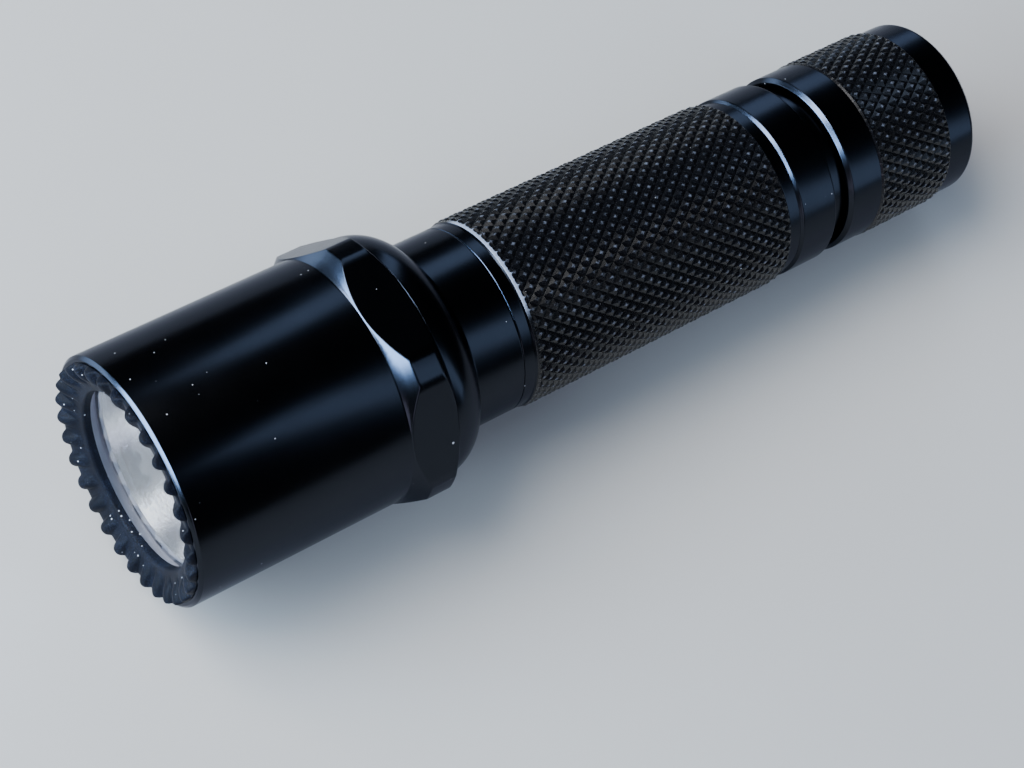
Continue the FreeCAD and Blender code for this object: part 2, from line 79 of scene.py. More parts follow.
def new_piece(name: str, points: np.ndarray, faces: np.ndarray, shading: Shading,
              crease: float = 34.0) -> bpy.types.Object:
    """Make an object at the origin from points in metres; doubles at the poles are merged.

    Args:
        name: name of the piece.
        points: array of shape (count, 3), metres.
        faces: array of shape (count, 3) or (count, 4), indices of points.
        shading: smooth between sharp edges, or flat facets.
        crease: edges sharper than this many degrees stay sharp when shaded smooth.

    Returns:
        The new object, with its normals pointing outwards.
    """
    mesh = bpy.data.meshes.new(name)
    mesh.from_pydata(points.tolist(), [], faces.tolist())
    work = bmesh.new()
    work.from_mesh(mesh)
    bmesh.ops.remove_doubles(work, verts=work.verts, dist=1e-7)
    bmesh.ops.dissolve_degenerate(work, edges=work.edges, dist=1e-8)
    bmesh.ops.recalc_face_normals(work, faces=work.faces)
    work.to_mesh(mesh)
    work.free()
    flags = np.full(len(mesh.polygons), shading is Shading.SMOOTH)
    mesh.polygons.foreach_set("use_smooth", flags)
    if shading is Shading.SMOOTH:
        mesh.set_sharp_from_angle(angle=math.radians(crease))
    mesh.update()
    piece = bpy.data.objects.new(name, mesh)
    bpy.context.scene.collection.objects.link(piece)
    return piece


def grid_faces(rows: int, columns: int, close_rows: bool) -> np.ndarray:
    """Quads of a grid whose columns always close on themselves, and its rows if asked.

    Face (i, j) joins points (i, j), (i, j + 1), (i + 1, j + 1) and (i + 1, j), counted modulo.

    Args:
        rows: rows of points.
        columns: points in a row.
        close_rows: whether the last row joins the first.

    Returns:
        Array of shape (count, 4), indices of points.
    """
    last = rows if close_rows else rows - 1
    i, j = np.meshgrid(np.arange(last), np.arange(columns), indexing="ij")
    down = (i + 1) % rows
    right = (j + 1) % columns
    corners = [i * columns + j, i * columns + right, down * columns + right, down * columns + j]
    return np.stack([c.ravel() for c in corners], axis=1)


def around(x: np.ndarray, radius: np.ndarray, angle: np.ndarray) -> np.ndarray:
    """Points on circles about the light's axis.

    y = radius cos(angle) and z = the axis's height + radius sin(angle).

    Args:
        x: positions along the axis, metres.
        radius: radii, metres.
        angle: right-hand angles about +X, radians.

    Returns:
        Array of shape (count, 3), metres.
    """
    x, radius, angle = np.broadcast_arrays(x, radius, angle)
    y = radius * np.cos(angle)
    z = AXIS_HEIGHT + radius * np.sin(angle)
    return np.stack([x.ravel(), y.ravel(), z.ravel()], axis=1)


def soften(outline: list, steps: int = 3) -> np.ndarray:
    """Round the corners of a closed outline.

    A corner P with radius c becomes the quadratic Bezier curve (1-k)^2 A + 2k(1-k) P + k^2 B, where
    A and B lie on its two sides at the distance c, which is at most 0.45 of either side. One more
    point stands a little outside A and B, so that the straight stretches stay flat.

    Args:
        outline: corners as (station, radius, corner radius), millimetres, in order.
        steps: parts of each rounded corner.

    Returns:
        Array of shape (count, 2): station and radius, millimetres.
    """
    corners = np.array([c[:2] for c in outline], float)
    size = np.array([c[2] if len(c) > 2 else 0.0 for c in outline])
    before = np.roll(corners, 1, axis=0) - corners
    after = np.roll(corners, -1, axis=0) - corners
    length_before = np.linalg.norm(before, axis=1)
    length_after = np.linalg.norm(after, axis=1)
    size = np.minimum(size, 0.45 * np.minimum(length_before, length_after))
    before /= length_before[:, None]
    after /= length_after[:, None]
    k = np.linspace(0, 1, steps + 1)[None, :, None]
    a = (corners + before * size[:, None])[:, None]
    b = (corners + after * size[:, None])[:, None]
    p = corners[:, None]
    curve = (1 - k) ** 2 * a + 2 * k * (1 - k) * p + k ** 2 * b
    guard = np.minimum(size, 0.04)[:, None, None]
    rows = np.concatenate([a + before[:, None] * guard, curve, b + after[:, None] * guard], axis=1)
    result = [rows[i] if size[i] > 0 else corners[i:i + 1] for i in range(len(outline))]
    return np.concatenate(result)


def lathe(name: str, front: float, outline: list, segments: int = 192,
          steps: int = 3) -> bpy.types.Object:
    """A turned solid: the softened outline (s, r) is carried round the axis.

    Point (i, j) is x = front - s_i, radius r_i, angle 2 pi j / segments.

    Args:
        name: name of the piece.
        front: where station 0 lies along X, metres.
        outline: closed outline, see soften.
        segments: parts of the circle.
        steps: parts of each rounded corner.

    Returns:
        The new object.
    """
    profile = soften(outline, steps)
    angle = np.arange(segments) * TURN / segments
    radius = np.maximum(profile[:, 1:], 0) * MM
    points = around(front - profile[:, :1] * MM, radius, angle[None, :])
    faces = grid_faces(len(profile), segments, True)
    return new_piece(name, points, faces, Shading.SMOOTH)


def tube(name: str, path: np.ndarray, out: np.ndarray, side: np.ndarray, radius: float,
         sections: int = 10) -> bpy.types.Object:
    """A round wire along a path, with rounded ends.

    Point (i, j) is path_i + w_i (cos(a_j) out_i + sin(a_j) side_i); w is the wire's radius, and
    falls to zero over the last points at each end, as the square root of 1 - t^2.

    Args:
        name: name of the piece.
        path: array (count, 3), metres.
        out: unit vectors across the path.
        side: unit vectors across the path, at right angles to out.
        radius: the wire's radius, metres.
        sections: points round the wire.

    Returns:
        The new object.
    """
    count = len(path)
    cap = 4
    t = np.ones(count)
    fall = np.sqrt(np.clip(1 - (1 - np.arange(cap) / cap) ** 2, 0, 1))
    t[:cap] = fall
    t[-cap:] = fall[::-1]
    angle = np.arange(sections) * TURN / sections
    cosine, sine = np.cos(angle)[None, :, None], np.sin(angle)[None, :, None]
    ring = cosine * out[:, None] + sine * side[:, None]
    points = path[:, None] + ring * (radius * t)[:, None, None]
    faces = grid_faces(count, sections, False)
    return new_piece(name, points.reshape(-1, 3), faces, Shading.SMOOTH)


def spring(name: str, start: float, end: float, radii: tuple, turns: float, wire: float,
           end_coils: float = 0.8) -> bpy.types.Object:
    """A coil spring about the axis, wound closer at its ends.

    With u from 0 to 1 along the wire, the angle is 2 pi turns u, the radius goes evenly from the
    first to the last, and the place along X goes from start to end as u eased by a cosine.

    Args:
        name: name of the piece.
        start: first end along X, metres.
        end: last end along X, metres.
        radii: first and last mean radius, millimetres.
        turns: number of turns.
        wire: the wire's radius, millimetres.
        end_coils: how strongly the ends are eased, from 0 to 1.

    Returns:
        The new object.
    """
    u = np.linspace(0, 1, int(turns * 48))
    eased = u - end_coils * np.sin(TURN * u) / TURN
    direction = math.copysign(1.0, end - start)
    x = start + direction * wire * MM + (end - start - 2 * direction * wire * MM) * eased
    radius = (radii[0] + (radii[1] - radii[0]) * u) * MM
    angle = TURN * turns * u
    path = around(x, radius, angle)
    out = around(np.zeros_like(u), np.ones_like(u), angle) - np.array([0, 0, AXIS_HEIGHT])
    forward = np.gradient(path, axis=0)
    forward /= np.linalg.norm(forward, axis=1)[:, None]
    side = np.cross(forward, out)
    side /= np.linalg.norm(side, axis=1)[:, None]
    return tube(name, path, out, side, wire * MM)


def thread_height(x: np.ndarray, angle: np.ndarray, pitch: float) -> np.ndarray:
    """Height of a right-handed thread from 0 at its root to 1 at its crest, a clipped triangle.

    With the phase p = x / pitch - angle / (2 pi), the height is 2.2 |2 frac(p) - 1| - 0.6, clipped.

    Args:
        x: places along the axis, millimetres.
        angle: right-hand angles about +X, radians.
        pitch: the thread's pitch, millimetres.

    Returns:
        The heights.
    """
    phase = x / pitch - angle / TURN
    wave = np.abs(2 * (phase - np.floor(phase)) - 1)
    return np.clip(2.2 * wave - 0.6, 0, 1)


# ---------------------------------------------------------------------------- shader maths


class Wire:
    """A socket that takes part in arithmetic; each operation adds one Math node."""

    def __init__(self, kit: "Kit", socket: bpy.types.NodeSocket) -> None:
        """Keep the socket and the material it belongs to."""
        self.kit = kit
        self.socket = socket

    def math(self, operation: str, *others: object) -> "Wire":
        """One Math node on this value and up to two others.

        Args:
            operation: the node's operation.
            others: numbers or Wires.

        Returns:
            The node's value.
        """
        return self.kit.node("ShaderNodeMath", {"operation": operation}, {
            index: value for index, value in enumerate((self,) + others)})

    def __add__(self, other: object) -> "Wire":
        """Sum."""
        return self.math("ADD", other)

    def __radd__(self, other: object) -> "Wire":
        """Sum with a number on the left."""
        return self.math("ADD", other)

    def __sub__(self, other: object) -> "Wire":
        """Difference."""
        return self.math("SUBTRACT", other)

    def __rsub__(self, other: float) -> "Wire":
        """A number minus this value."""
        return (self * -1.0) + other

    def __mul__(self, other: object) -> "Wire":
        """Product."""
        return self.math("MULTIPLY", other)

    def __rmul__(self, other: object) -> "Wire":
        """Product with a number on the left."""
        return self.math("MULTIPLY", other)

    def __truediv__(self, other: object) -> "Wire":
        """Quotient."""
        return self.math("DIVIDE", other)

    def __pow__(self, other: float) -> "Wire":
        """Power."""
        return self.math("POWER", other)

    def ramp(self, low: float, high: float) -> "Wire":
        """0 below low, 1 above high, and smooth between them.

        Args:
            low: value that gives 0.
            high: value that gives 1.

        Returns:
            The share.
        """
        return self.kit.node("ShaderNodeMapRange", {"interpolation_type": "SMOOTHSTEP"},
                             {"Value": self, "From Min": low, "From Max": high})


class Kit:
    """One material and the few calls that build its nodes."""

    def __init__(self, name: str) -> None:
        """Start an empty node material with a Principled BSDF.

        Args:
            name: name of the material.
        """
        self.material = bpy.data.materials.new(name)
        self.material.use_nodes = True
        self.tree = self.material.node_tree
        self.tree.nodes.clear()
        self.output = self.tree.nodes.new("ShaderNodeOutputMaterial")
        self.surface = self.tree.nodes.new("ShaderNodeBsdfPrincipled")
        self.tree.links.new(self.surface.outputs[0], self.output.inputs["Surface"])

    def node(self, kind: str, settings: dict, inputs: dict, output: object = 0) -> Wire:
        """Add a node.

        Args:
            kind: the node's type name.
            settings: properties, set before the inputs.
            inputs: socket name or number to a value or a Wire.
            output: name or number of the output to return.

        Returns:
            The output as a Wire.
        """
        made = self.tree.nodes.new(kind)
        for key, value in settings.items():
            setattr(made, key, value)
        for key, value in inputs.items():
            self.feed(made.inputs[key], value)
        return Wire(self, made.outputs[output])

    def feed(self, socket: bpy.types.NodeSocket, value: object) -> None:
        """Link a Wire to a socket, or set a constant on it.

        Args:
            socket: the socket to feed.
            value: a Wire, or a constant.
        """
        if isinstance(value, Wire):
            self.tree.links.new(value.socket, socket)
        else:
            socket.default_value = value

    def set(self, **inputs: object) -> None:
        """Set or link sockets of the Principled BSDF; underscores stand for spaces."""
        for key, value in inputs.items():
            self.feed(self.surface.inputs[key.replace("_", " ")], value)

    def place(self) -> Wire:
        """Object coordinates, which are metres from the origin."""
        return self.node("ShaderNodeTexCoord", {}, {}, "Object")

    def along(self) -> Wire:
        """Place along X, metres."""
        return self.node("ShaderNodeSeparateXYZ", {}, {"Vector": self.place()}, "X")

    def from_axis(self) -> Wire:
        """Object coordinates counted from the height of the axis."""
        return self.node("ShaderNodeVectorMath", {"operation": "ADD"},
                         {0: self.place(), 1: (0.0, 0.0, -AXIS_HEIGHT)})

    def radius(self) -> Wire:
        """Distance of a point from the flashlight's axis, metres.

        Returns:
            The value.
        """
        flat = self.node("ShaderNodeVectorMath", {"operation": "MULTIPLY"},
                         {0: self.from_axis(), 1: (0.0, 1.0, 1.0)})
        return self.node("ShaderNodeVectorMath", {"operation": "LENGTH"}, {0: flat}, "Value")

    def painted_highlight_side(self, start: float = 0.70, full: float = 0.84) -> Wire:
        """One on the side whose edges get a painted highlight, falling to nought round the rest.

        The share grows with the cosine of the angle, about the axis, from PAINTED_HIGHLIGHT_WAY.

        Args:
            start: cosine at which the share begins.
            full: cosine from which it is one.

        Returns:
            The share.
        """
        height = self.node("ShaderNodeVectorMath", {"operation": "DOT_PRODUCT"},
                           {0: self.from_axis(), 1: PAINTED_HIGHLIGHT_WAY}, "Value")
        return (height / self.radius()).ramp(start, full)

    def noise(self, size: float, detail: float = 3.0, stretch: tuple = (1, 1, 1)) -> Wire:
        """Noise in blotches.

        Args:
            size: size of a blotch, millimetres.
            detail: how much finer noise is added.
            stretch: scale of the pattern along X, Y and Z; less than one stretches it.

        Returns:
            The noise, about 0 to 1.
        """
        where = self.node("ShaderNodeMapping", {}, {"Vector": self.place(), "Scale": stretch})
        return self.node("ShaderNodeTexNoise", {}, {
            "Vector": where, "Scale": 1 / (size * MM), "Detail": detail, "Roughness": 0.55}, "Fac")

    def specks(self, spacing: float, size: float, share: float) -> Wire:
        """Small round specks: 1 inside a speck, 0 outside.

        Args:
            spacing: millimetres between the places where a speck may be.
            size: radius of a speck, as a part of the spacing.
            share: part of the places that hold one.

        Returns:
            The mask.
        """
        scale = 1 / (spacing * MM)
        settings = {"voronoi_dimensions": "3D", "feature": "F1"}
        inputs = {"Vector": self.place(), "Scale": scale}
        distance = self.node("ShaderNodeTexVoronoi", settings, inputs, "Distance")
        colour = self.node("ShaderNodeTexVoronoi", settings, inputs, "Color")
        chance = self.node("ShaderNodeSeparateColor", {}, {"Color": colour}, "Red")
        near = 1 - distance.ramp(size * 0.5, size)
        return near * chance.math("LESS_THAN", share)

    def mix(self, factor: object, first: tuple, second: tuple) -> Wire:
        """Blend of two colours.

        Args:
            factor: 0 for the first, 1 for the second.
            first: colour or Wire.
            second: colour or Wire.

        Returns:
            The colour.
        """
        made = self.tree.nodes.new("ShaderNodeMix")
        made.data_type = "RGBA"
        self.feed(made.inputs[0], factor)
        self.feed(made.inputs[6], first)
        self.feed(made.inputs[7], second)
        return Wire(self, made.outputs[2])

    def bump(self, height: Wire, distance: float, strength: float = 1.0) -> None:
        """Feed a height to the surface's normal.

        Args:
            height: the height's pattern.
            distance: height of the whole pattern, millimetres.
            strength: how strongly it tilts the normal.
        """
        self.set(Normal=self.node("ShaderNodeBump", {}, {
            "Height": height, "Distance": distance * MM, "Strength": strength}, "Normal"))


# ---------------------------------------------------------------------------- finishes


@dataclass(frozen=True)
class Anodised:
    """Black hard anodising on turned aluminium: satin, faintly ringed by the lathe, with dust, and
    a painted highlight on the forward edges of one side.
    """
    name: str = "black_anodised"
    colour: tuple = (0.0200, 0.0222, 0.0270, 1.0)
    # colour of the painted highlight on the forward-facing edges
    wear_and_highlight: tuple = (0.10, 0.135, 0.21, 1.0)
    edge_sheen: tuple = (0.60, 0.61, 0.66, 1.0)
    dust_colour: tuple = (0.60, 0.62, 0.66, 1.0)
    rough: float = 0.22
    dust: float = 1.0

    def build(self) -> bpy.types.Material:
        """Make the material; edges that face partly forwards get a painted highlight on one side.

        Returns:
            The material.
        """
        kit = Kit(self.name)
        cloud = kit.noise(9.0)
        fine = kit.noise(0.25, 2.0)
        lathe_marks = kit.noise(0.16, 2.0, (1.0, 0.02, 0.02))
        specks = kit.specks(1.1, 0.09, 0.10 * self.dust)
        specks = specks + kit.specks(8.0, 0.026, 0.5 * self.dust)
        film = kit.noise(0.09, 1.0).ramp(0.60, 0.78) * kit.noise(5.0, 2.0).ramp(0.45, 0.75)
        dusty = (specks + film * 0.03 * self.dust).math("MINIMUM", 1.0)
        # Painted highlight: edges that slope partly forwards, on one side only, are painted pale as
        # if catching light.
        normal = kit.node("ShaderNodeNewGeometry", {}, {}, "Normal")
        facing = kit.node("ShaderNodeSeparateXYZ", {}, {"Vector": normal}, "X")
        sloped = facing.ramp(0.30, 0.50) * (1 - facing.ramp(0.90, 0.97))
        edges = sloped * kit.painted_highlight_side(0.66, 0.84)
        metal = kit.mix(edges, self.colour, self.wear_and_highlight)
        rough = self.rough + (cloud - 0.5) * 0.10 + (fine - 0.5) * 0.05 + specks * 0.4
        kit.set(Base_Color=kit.mix(dusty, metal, self.dust_colour), Roughness=rough,
                Metallic=1 - dusty)
        kit.surface.inputs["IOR"].default_value = 1.5
        kit.surface.inputs["Specular Tint"].default_value = self.edge_sheen
        kit.bump(lathe_marks + fine * 0.5 + specks * 3.0, 0.0016, 0.6)
        return kit.material


@dataclass(frozen=True)
class Knurled:
    """Anodising on cut diamonds: the points are smoothed by wear and a little paler.

    Crest and depth are the knurling's, in millimetres; edge_at is the place along X, in metres, of
    the front edge whose teeth get a painted highlight on one side.
    """
    name: str = "black_knurl"
    colour: tuple = (0.0022, 0.0024, 0.0034, 1.0)
    wear_and_highlight: tuple = (0.13, 0.145, 0.185, 1.0)
    # colour of the painted highlight on the front edge's teeth
    edge: tuple = (0.30, 0.35, 0.46, 1.0)
    dust_colour: tuple = (0.5, 0.51, 0.53, 1.0)
    crest: float = 12.7
    depth: float = 0.34
    edge_at: float = FAR_AWAY

    def build(self) -> bpy.types.Material:
        """Make the material; a point's height in the knurling is its distance from the axis.

        Returns:
            The material.
        """
        kit = Kit(self.name)
        radius = kit.radius()
        crest, depth = self.crest * MM, self.depth * MM
        tips = radius.ramp(crest - depth * 0.34, crest - depth * 0.02)
        patchy = kit.noise(0.9, 3.0).ramp(0.38, 0.68)
        specks = kit.specks(1.3, 0.07, 0.10)
        lint = kit.noise(0.07, 1.0).ramp(0.62, 0.8) * (1 - tips) * 0.10
        wear_and_highlight = tips * (0.2 + patchy * 0.8) * kit.noise(0.30, 2.0).ramp(0.36, 0.58)
        # Painted highlight: the front edge's teeth on one side are painted pale, standing in for
        # light caught there.
        reach = kit.along() - self.edge_at + (radius - crest) * 1.6
        teeth = reach.ramp(-0.92 * MM, -0.80 * MM)
        painted_highlight = teeth * radius.ramp(crest - 0.52 * MM, crest - 0.44 * MM) * kit.painted_highlight_side()
        base = kit.mix(painted_highlight, kit.mix(wear_and_highlight, self.colour, self.wear_and_highlight), self.edge)
        dusty = (specks + lint).math("MINIMUM", 1.0)
        kit.set(Base_Color=kit.mix(dusty, base, self.dust_colour),
                Roughness=0.27 - wear_and_highlight * 0.06 + (kit.noise(0.2, 2.0) - 0.5) * 0.12)
        kit.surface.inputs["IOR"].default_value = 1.5
        kit.surface.inputs["Specular IOR Level"].default_value = 0.26
        kit.bump(kit.noise(0.08, 2.0), 0.004, 0.5)
        return kit.material


@dataclass(frozen=True)
class Rubber:
    """Moulded rubber: dull, with grain, and pale dust that settles on it."""
    name: str
    colour: tuple = (0.0014, 0.0022, 0.0052, 1.0)
    dust_colour: tuple = (0.10, 0.145, 0.28, 1.0)
    speck_colour: tuple = (0.72, 0.76, 0.84, 1.0)
    dust: float = 0.5
    rough: float = 0.52
    grain: float = 0.05

    def build(self) -> bpy.types.Material:
        """Make the material.

        Returns:
            The material.
        """
        kit = Kit(self.name)
        grain = kit.noise(0.11, 3.0)
        patches = kit.noise(3.0, 3.0).ramp(0.35, 0.72)
        powder = kit.noise(0.13, 2.0).ramp(0.42, 0.72) * (patches * 0.7 + 0.3)
        specks = kit.specks(0.7, 0.17, 0.30 * self.dust)
        film = (powder * (0.20 * self.dust)).math("MINIMUM", 1.0)
        kit.set(Base_Color=kit.mix(specks, kit.mix(film, self.colour, self.dust_colour),
                                   self.speck_colour),
                Roughness=self.rough + (grain - 0.5) * 0.2 + film * 0.25)
        kit.surface.inputs["Specular IOR Level"].default_value = 0.11
        kit.bump(grain + powder * 0.6, self.grain * 0.2, 0.7)
        return kit.material


@dataclass(frozen=True)
class Metal:
    """Bare or plated metal with drawing or turning marks."""
    name: str
    colour: tuple
    rough: float = 0.22
    marks: float = 0.2
    stretch: tuple = (1.0, 0.03, 0.03)
    tarnish: float = 0.15

    def build(self) -> bpy.types.Material:
        """Make the material.

        Returns:
            The material.
        """
        kit = Kit(self.name)
        marks = kit.noise(self.marks, 3.0, self.stretch)
        cloud = kit.noise(3.0, 3.0)
        dark = tuple(c * (1 - self.tarnish) for c in self.colour[:3]) + (1.0,)
        kit.set(Base_Color=kit.mix(cloud, dark, self.colour), Metallic=1.0,
                Roughness=self.rough + (marks - 0.5) * 0.14 + (cloud - 0.5) * 0.08)
        kit.bump(marks, 0.0015, 0.5)
        return kit.material


@dataclass(frozen=True)
class Mirror:
    """Vacuum-coated bowl with a fine orange-peel texture that spreads the beam."""
    name: str = "reflector_coat"
    rough: float = 0.20

    def build(self) -> bpy.types.Material:
        """Make the material.

        Returns:
            The material.
        """
        kit = Kit(self.name)
        peel = kit.noise(0.42, 1.0)
        haze = kit.noise(4.0, 2.0)
        kit.set(Base_Color=kit.mix(haze, (0.86, 0.87, 0.88, 1.0), (0.93, 0.94, 0.95, 1.0)),
                Metallic=1.0, Roughness=self.rough + haze * 0.10)
        kit.bump(peel, 0.02, 0.8)
        return kit.material


@dataclass(frozen=True)
class Plastic:
    """Moulded or ceramic material with a fine grain and slight colour variation."""
    name: str
    colour: tuple
    rough: float = 0.45
    grain: float = 0.12

    def build(self) -> bpy.types.Material:
        """Make the material.

        Returns:
            The material.
        """
        kit = Kit(self.name)
        cloud = kit.noise(2.5, 3.0)
        grain = kit.noise(self.grain, 2.0)
        dark = tuple(c * 0.86 for c in self.colour[:3]) + (1.0,)
        kit.set(Base_Color=kit.mix(cloud, dark, self.colour),
                Roughness=self.rough + (grain - 0.5) * 0.15)
        kit.bump(grain, 0.004, 0.5)
        return kit.material


@dataclass(frozen=True)
class Glass:
    """Clear thin glass: seen through, with a gloss that grows at a slant, and a little dust."""
    name: str
    tint: tuple = (0.93, 0.95, 0.97, 1.0)
    dust_colour: tuple = (0.9, 0.92, 0.95, 1.0)
    dust: float = 0.0

    def build(self) -> bpy.types.Material:
        """Make the material: a clear and a glossy shader, mixed by the slant of the surface.

        Returns:
            The material.
        """
        kit = Kit(self.name)
        smear = kit.noise(2.2, 3.0)
        kit.set(Base_Color=self.dust_colour, Roughness=0.03 + smear * 0.05, Metallic=0.0)
        kit.surface.inputs["Specular IOR Level"].default_value = 1.0
        clear = kit.tree.nodes.new("ShaderNodeBsdfTransparent")
        clear.inputs["Color"].default_value = self.tint
        glossy = kit.tree.nodes.new("ShaderNodeBsdfGlossy")
        glossy.inputs["Roughness"].default_value = 0.03
        facing = kit.node("ShaderNodeLayerWeight", {}, {"Blend": 0.5}, "Facing")
        slant = facing ** 5.0 * 0.96 + 0.04
        film = kit.noise(0.2, 2.0).ramp(0.6, 0.8) * 0.03 * self.dust
        lint = kit.specks(1.1, 0.06, 0.25 * self.dust) + film
        first = kit.tree.nodes.new("ShaderNodeMixShader")
        kit.feed(first.inputs[0], slant)
        kit.tree.links.new(clear.outputs[0], first.inputs[1])
        kit.tree.links.new(glossy.outputs[0], first.inputs[2])
        last = kit.tree.nodes.new("ShaderNodeMixShader")
        kit.feed(last.inputs[0], lint.math("MINIMUM", 1.0))
        kit.tree.links.new(first.outputs[0], last.inputs[1])
        kit.tree.links.new(kit.surface.outputs[0], last.inputs[2])
        kit.tree.links.new(last.outputs[0], kit.output.inputs["Surface"])
        return kit.material


class Finishes:
    """Every finish of the light, made once and shared."""

    def __init__(self) -> None:
        """Build the materials."""
        self.anodised = Anodised().build()
        self.body_knurl = Knurled(edge_at=Body().knurl_start()).build()
        self.cap_knurl = Knurled(name="black_cap_knurl", crest=12.45, depth=0.32).build()
        self.ring_rubber = Rubber("dusty_rubber", dust=1.0).build()
        self.seal_rubber = Rubber("seal_rubber", (0.008, 0.008, 0.009, 1.0), dust=0.1,
                                  rough=0.35).build()
        self.button_rubber = Rubber("button_rubber", (0.010, 0.010, 0.011, 1.0), dust=0.6,
                                    rough=0.6).build()
        self.window = Glass("window_glass", dust=1.0).build()
        self.ground_edge = Plastic("ground_glass_edge", (0.62, 0.64, 0.74, 1.0), 0.5, 0.1).build()
        self.bulb = Glass("bulb_glass", (0.97, 0.97, 0.97, 1.0)).build()
        self.mirror = Mirror().build()
        self.brass = Metal("turned_brass", (0.72, 0.52, 0.22, 1.0), 0.26, 0.14).build()
        self.nickel = Metal("nickel_plate", (0.63, 0.61, 0.57, 1.0), 0.20, 0.3).build()
        even = (1, 1, 1)
        self.steel = Metal("spring_wire", (0.52, 0.53, 0.55, 1.0), 0.24, 0.08, even).build()
        self.tungsten = Metal("tungsten_wire", (0.22, 0.22, 0.24, 1.0), 0.4, 0.05, even).build()
        self.ceramic = Plastic("lamp_ceramic", (0.82, 0.80, 0.74, 1.0), 0.55).build()
        self.nylon = Plastic("natural_nylon", (0.74, 0.73, 0.68, 1.0), 0.38).build()
        self.silicone = Plastic("clear_silicone", (0.50, 0.51, 0.58, 1.0), 0.4, 0.1).build()
        self.wrap = Plastic("cell_wrap", (0.36, 0.025, 0.022, 1.0), 0.25, 0.6).build()


def dress(piece: bpy.types.Object, body: str, material: bpy.types.Material,
          nodes: tuple = (), stretch: tuple = ()) -> bpy.types.Object:
    """Give a finished piece its material and tie it to its body; a piece given a stretch is left
    untied, with its place baked into its mesh.

    Args:
        piece: the piece.
        body: the body it rides on.
        material: its finish.
        nodes: the CAD nodes that it stands for.
        stretch: for a spring that joins two bodies, the other body and two places along X, in
            metres; when it is given the piece is not tied to a body, and these values are not used.

    Returns:
        The piece.
    """
    piece.data.materials.clear()
    piece.data.materials.append(material)
    if stretch:
        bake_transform(piece)
    else:
        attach(piece, body)
    if nodes:
        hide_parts(*nodes)
    log.info("%s: %d faces", piece.name, len(piece.data.polygons))
    return piece


def dress_node(node: str, material: bpy.types.Material) -> None:
    """Put a finish on a CAD node that keeps its own shape.

    Args:
        node: name of the CAD node.
        material: its finish.
    """
    obj = bpy.data.objects[node]
    for index in range(len(obj.material_slots)):
        obj.material_slots[index].link = "DATA"
    obj.data.materials.clear()
    obj.data.materials.append(material)
    log.info("%s: CAD node dressed", node)


# ---------------------------------------------------------------------------- knurling


@dataclass
class Knurling:
    """A closed ring whose outside is cut into diamonds by two sets of V grooves.

    With u = x / p + n a / 2 pi and v = x / p - n a / 2 pi, where a is the angle, the grooves lie
    where u or v is whole. The height at a point is a function of the smaller distance of u and v
    from a whole number: it rises evenly and is a little blunt at the top. Lengths are millimetres.
    """
    around_count: int = 48
    pitch: float = 2.13
    depth: float = 0.34
    crest: float = 12.7
    inner: float = 12.0
    cells: int = 8
    blunt: float = 0.86
    run_out: float = 0.5

    def height(self, x: np.ndarray, angle: np.ndarray) -> np.ndarray:
        """Height of the diamonds.

        Args:
            x: distance behind the ring's front, millimetres.
            angle: angle about the axis, radians.

        Returns:
            Height above the bottom of the grooves, from 0 to 1.
        """
        turn = self.around_count * angle / TURN
        u = x / self.pitch + turn
        v = x / self.pitch - turn
        near = np.minimum(np.abs(u - np.round(u)), np.abs(v - np.round(v))) * 2
        return np.minimum(near / self.blunt, 1.0) * 0.9 + near * 0.1

    def build(self, name: str, front: float, length: float, rise_front: float, rise_rear: float,
              low_front: float, low_rear: float) -> bpy.types.Object:
        """Make the ring.

        The outside is the lower of the diamonds and the cones at both ends, and the grooves run
        out over a short stretch in front. Each cell of the grid is split along the diagonal that
        follows the nearer groove.

        Args:
            name: name of the piece.
            front: place of its front edge along X, metres.
            length: length, millimetres.
            rise_front: length of the front cone, millimetres.
            rise_rear: length of the rear cone, millimetres.
            low_front: radius at the front edge, millimetres.
            low_rear: radius at the rear edge, millimetres.

        Returns:
            The new object.
        """
        step = self.pitch / self.cells
        rows = int(round(length / step))
        columns = self.around_count * self.cells
        station = np.arange(rows + 1) * step
        scale = length / station[-1]
        angle = np.arange(columns) * TURN / columns
        height = self.height(station[:, None], angle[None, :])
        radius = self.crest - self.depth * (1 - height)
        where = station[:, None] * scale
        cone_front = low_front + (self.crest - low_front) * where / rise_front
        cone_rear = low_rear + (self.crest - low_rear) * (length - where) / rise_rear
        deepening = np.clip((where - 0.5 * rise_front) / self.run_out, 0, 1)
        shallow = self.crest - self.depth * deepening
        radius = np.maximum(radius, shallow)
        radius = np.minimum(radius, np.minimum(cone_front, cone_rear))
        outer = around(front - where * MM, radius * MM, angle[None, :])
        inner = around(front - np.array([[length], [0.0]]) * MM, np.full((2, 1), self.inner * MM),
                       angle[None, :])
        points = np.concatenate([outer, inner])
        i, j = np.meshgrid(np.arange(rows), np.arange(columns), indexing="ij")
        right = (j + 1) % columns
        a, b = i * columns + j, i * columns + right
        c, d = (i + 1) * columns + right, (i + 1) * columns + j
        middle_u = (i + j + 1) / self.cells
        middle_v = (i - j) / self.cells
        near_u = np.abs(middle_u - np.round(middle_u))
        near_v = np.abs(middle_v - np.round(middle_v))
        follow_u = (near_u < near_v)[..., None]
        first = np.where(follow_u, np.stack([a, b, d], -1), np.stack([a, b, c], -1))
        second = np.where(follow_u, np.stack([b, c, d], -1), np.stack([a, c, d], -1))
        triangles = np.concatenate([first.reshape(-1, 3), second.reshape(-1, 3)])
        base = (rows + 1) * columns
        rear, fore = base + np.arange(columns), base + columns + np.arange(columns)
        end, start = rows * columns + np.arange(columns), np.arange(columns)
        strips = [(end, rear), (rear, fore), (fore, start)]
        quads = [np.stack([p, np.roll(p, -1), np.roll(q, -1), q], 1) for p, q in strips]
        quads = np.concatenate(quads)
        closing = np.concatenate([quads[:, [0, 1, 2]], quads[:, [0, 2, 3]]])
        return new_piece(name, points, np.concatenate([triangles, closing]), Shading.FACETED)


# ---------------------------------------------------------------------------- head


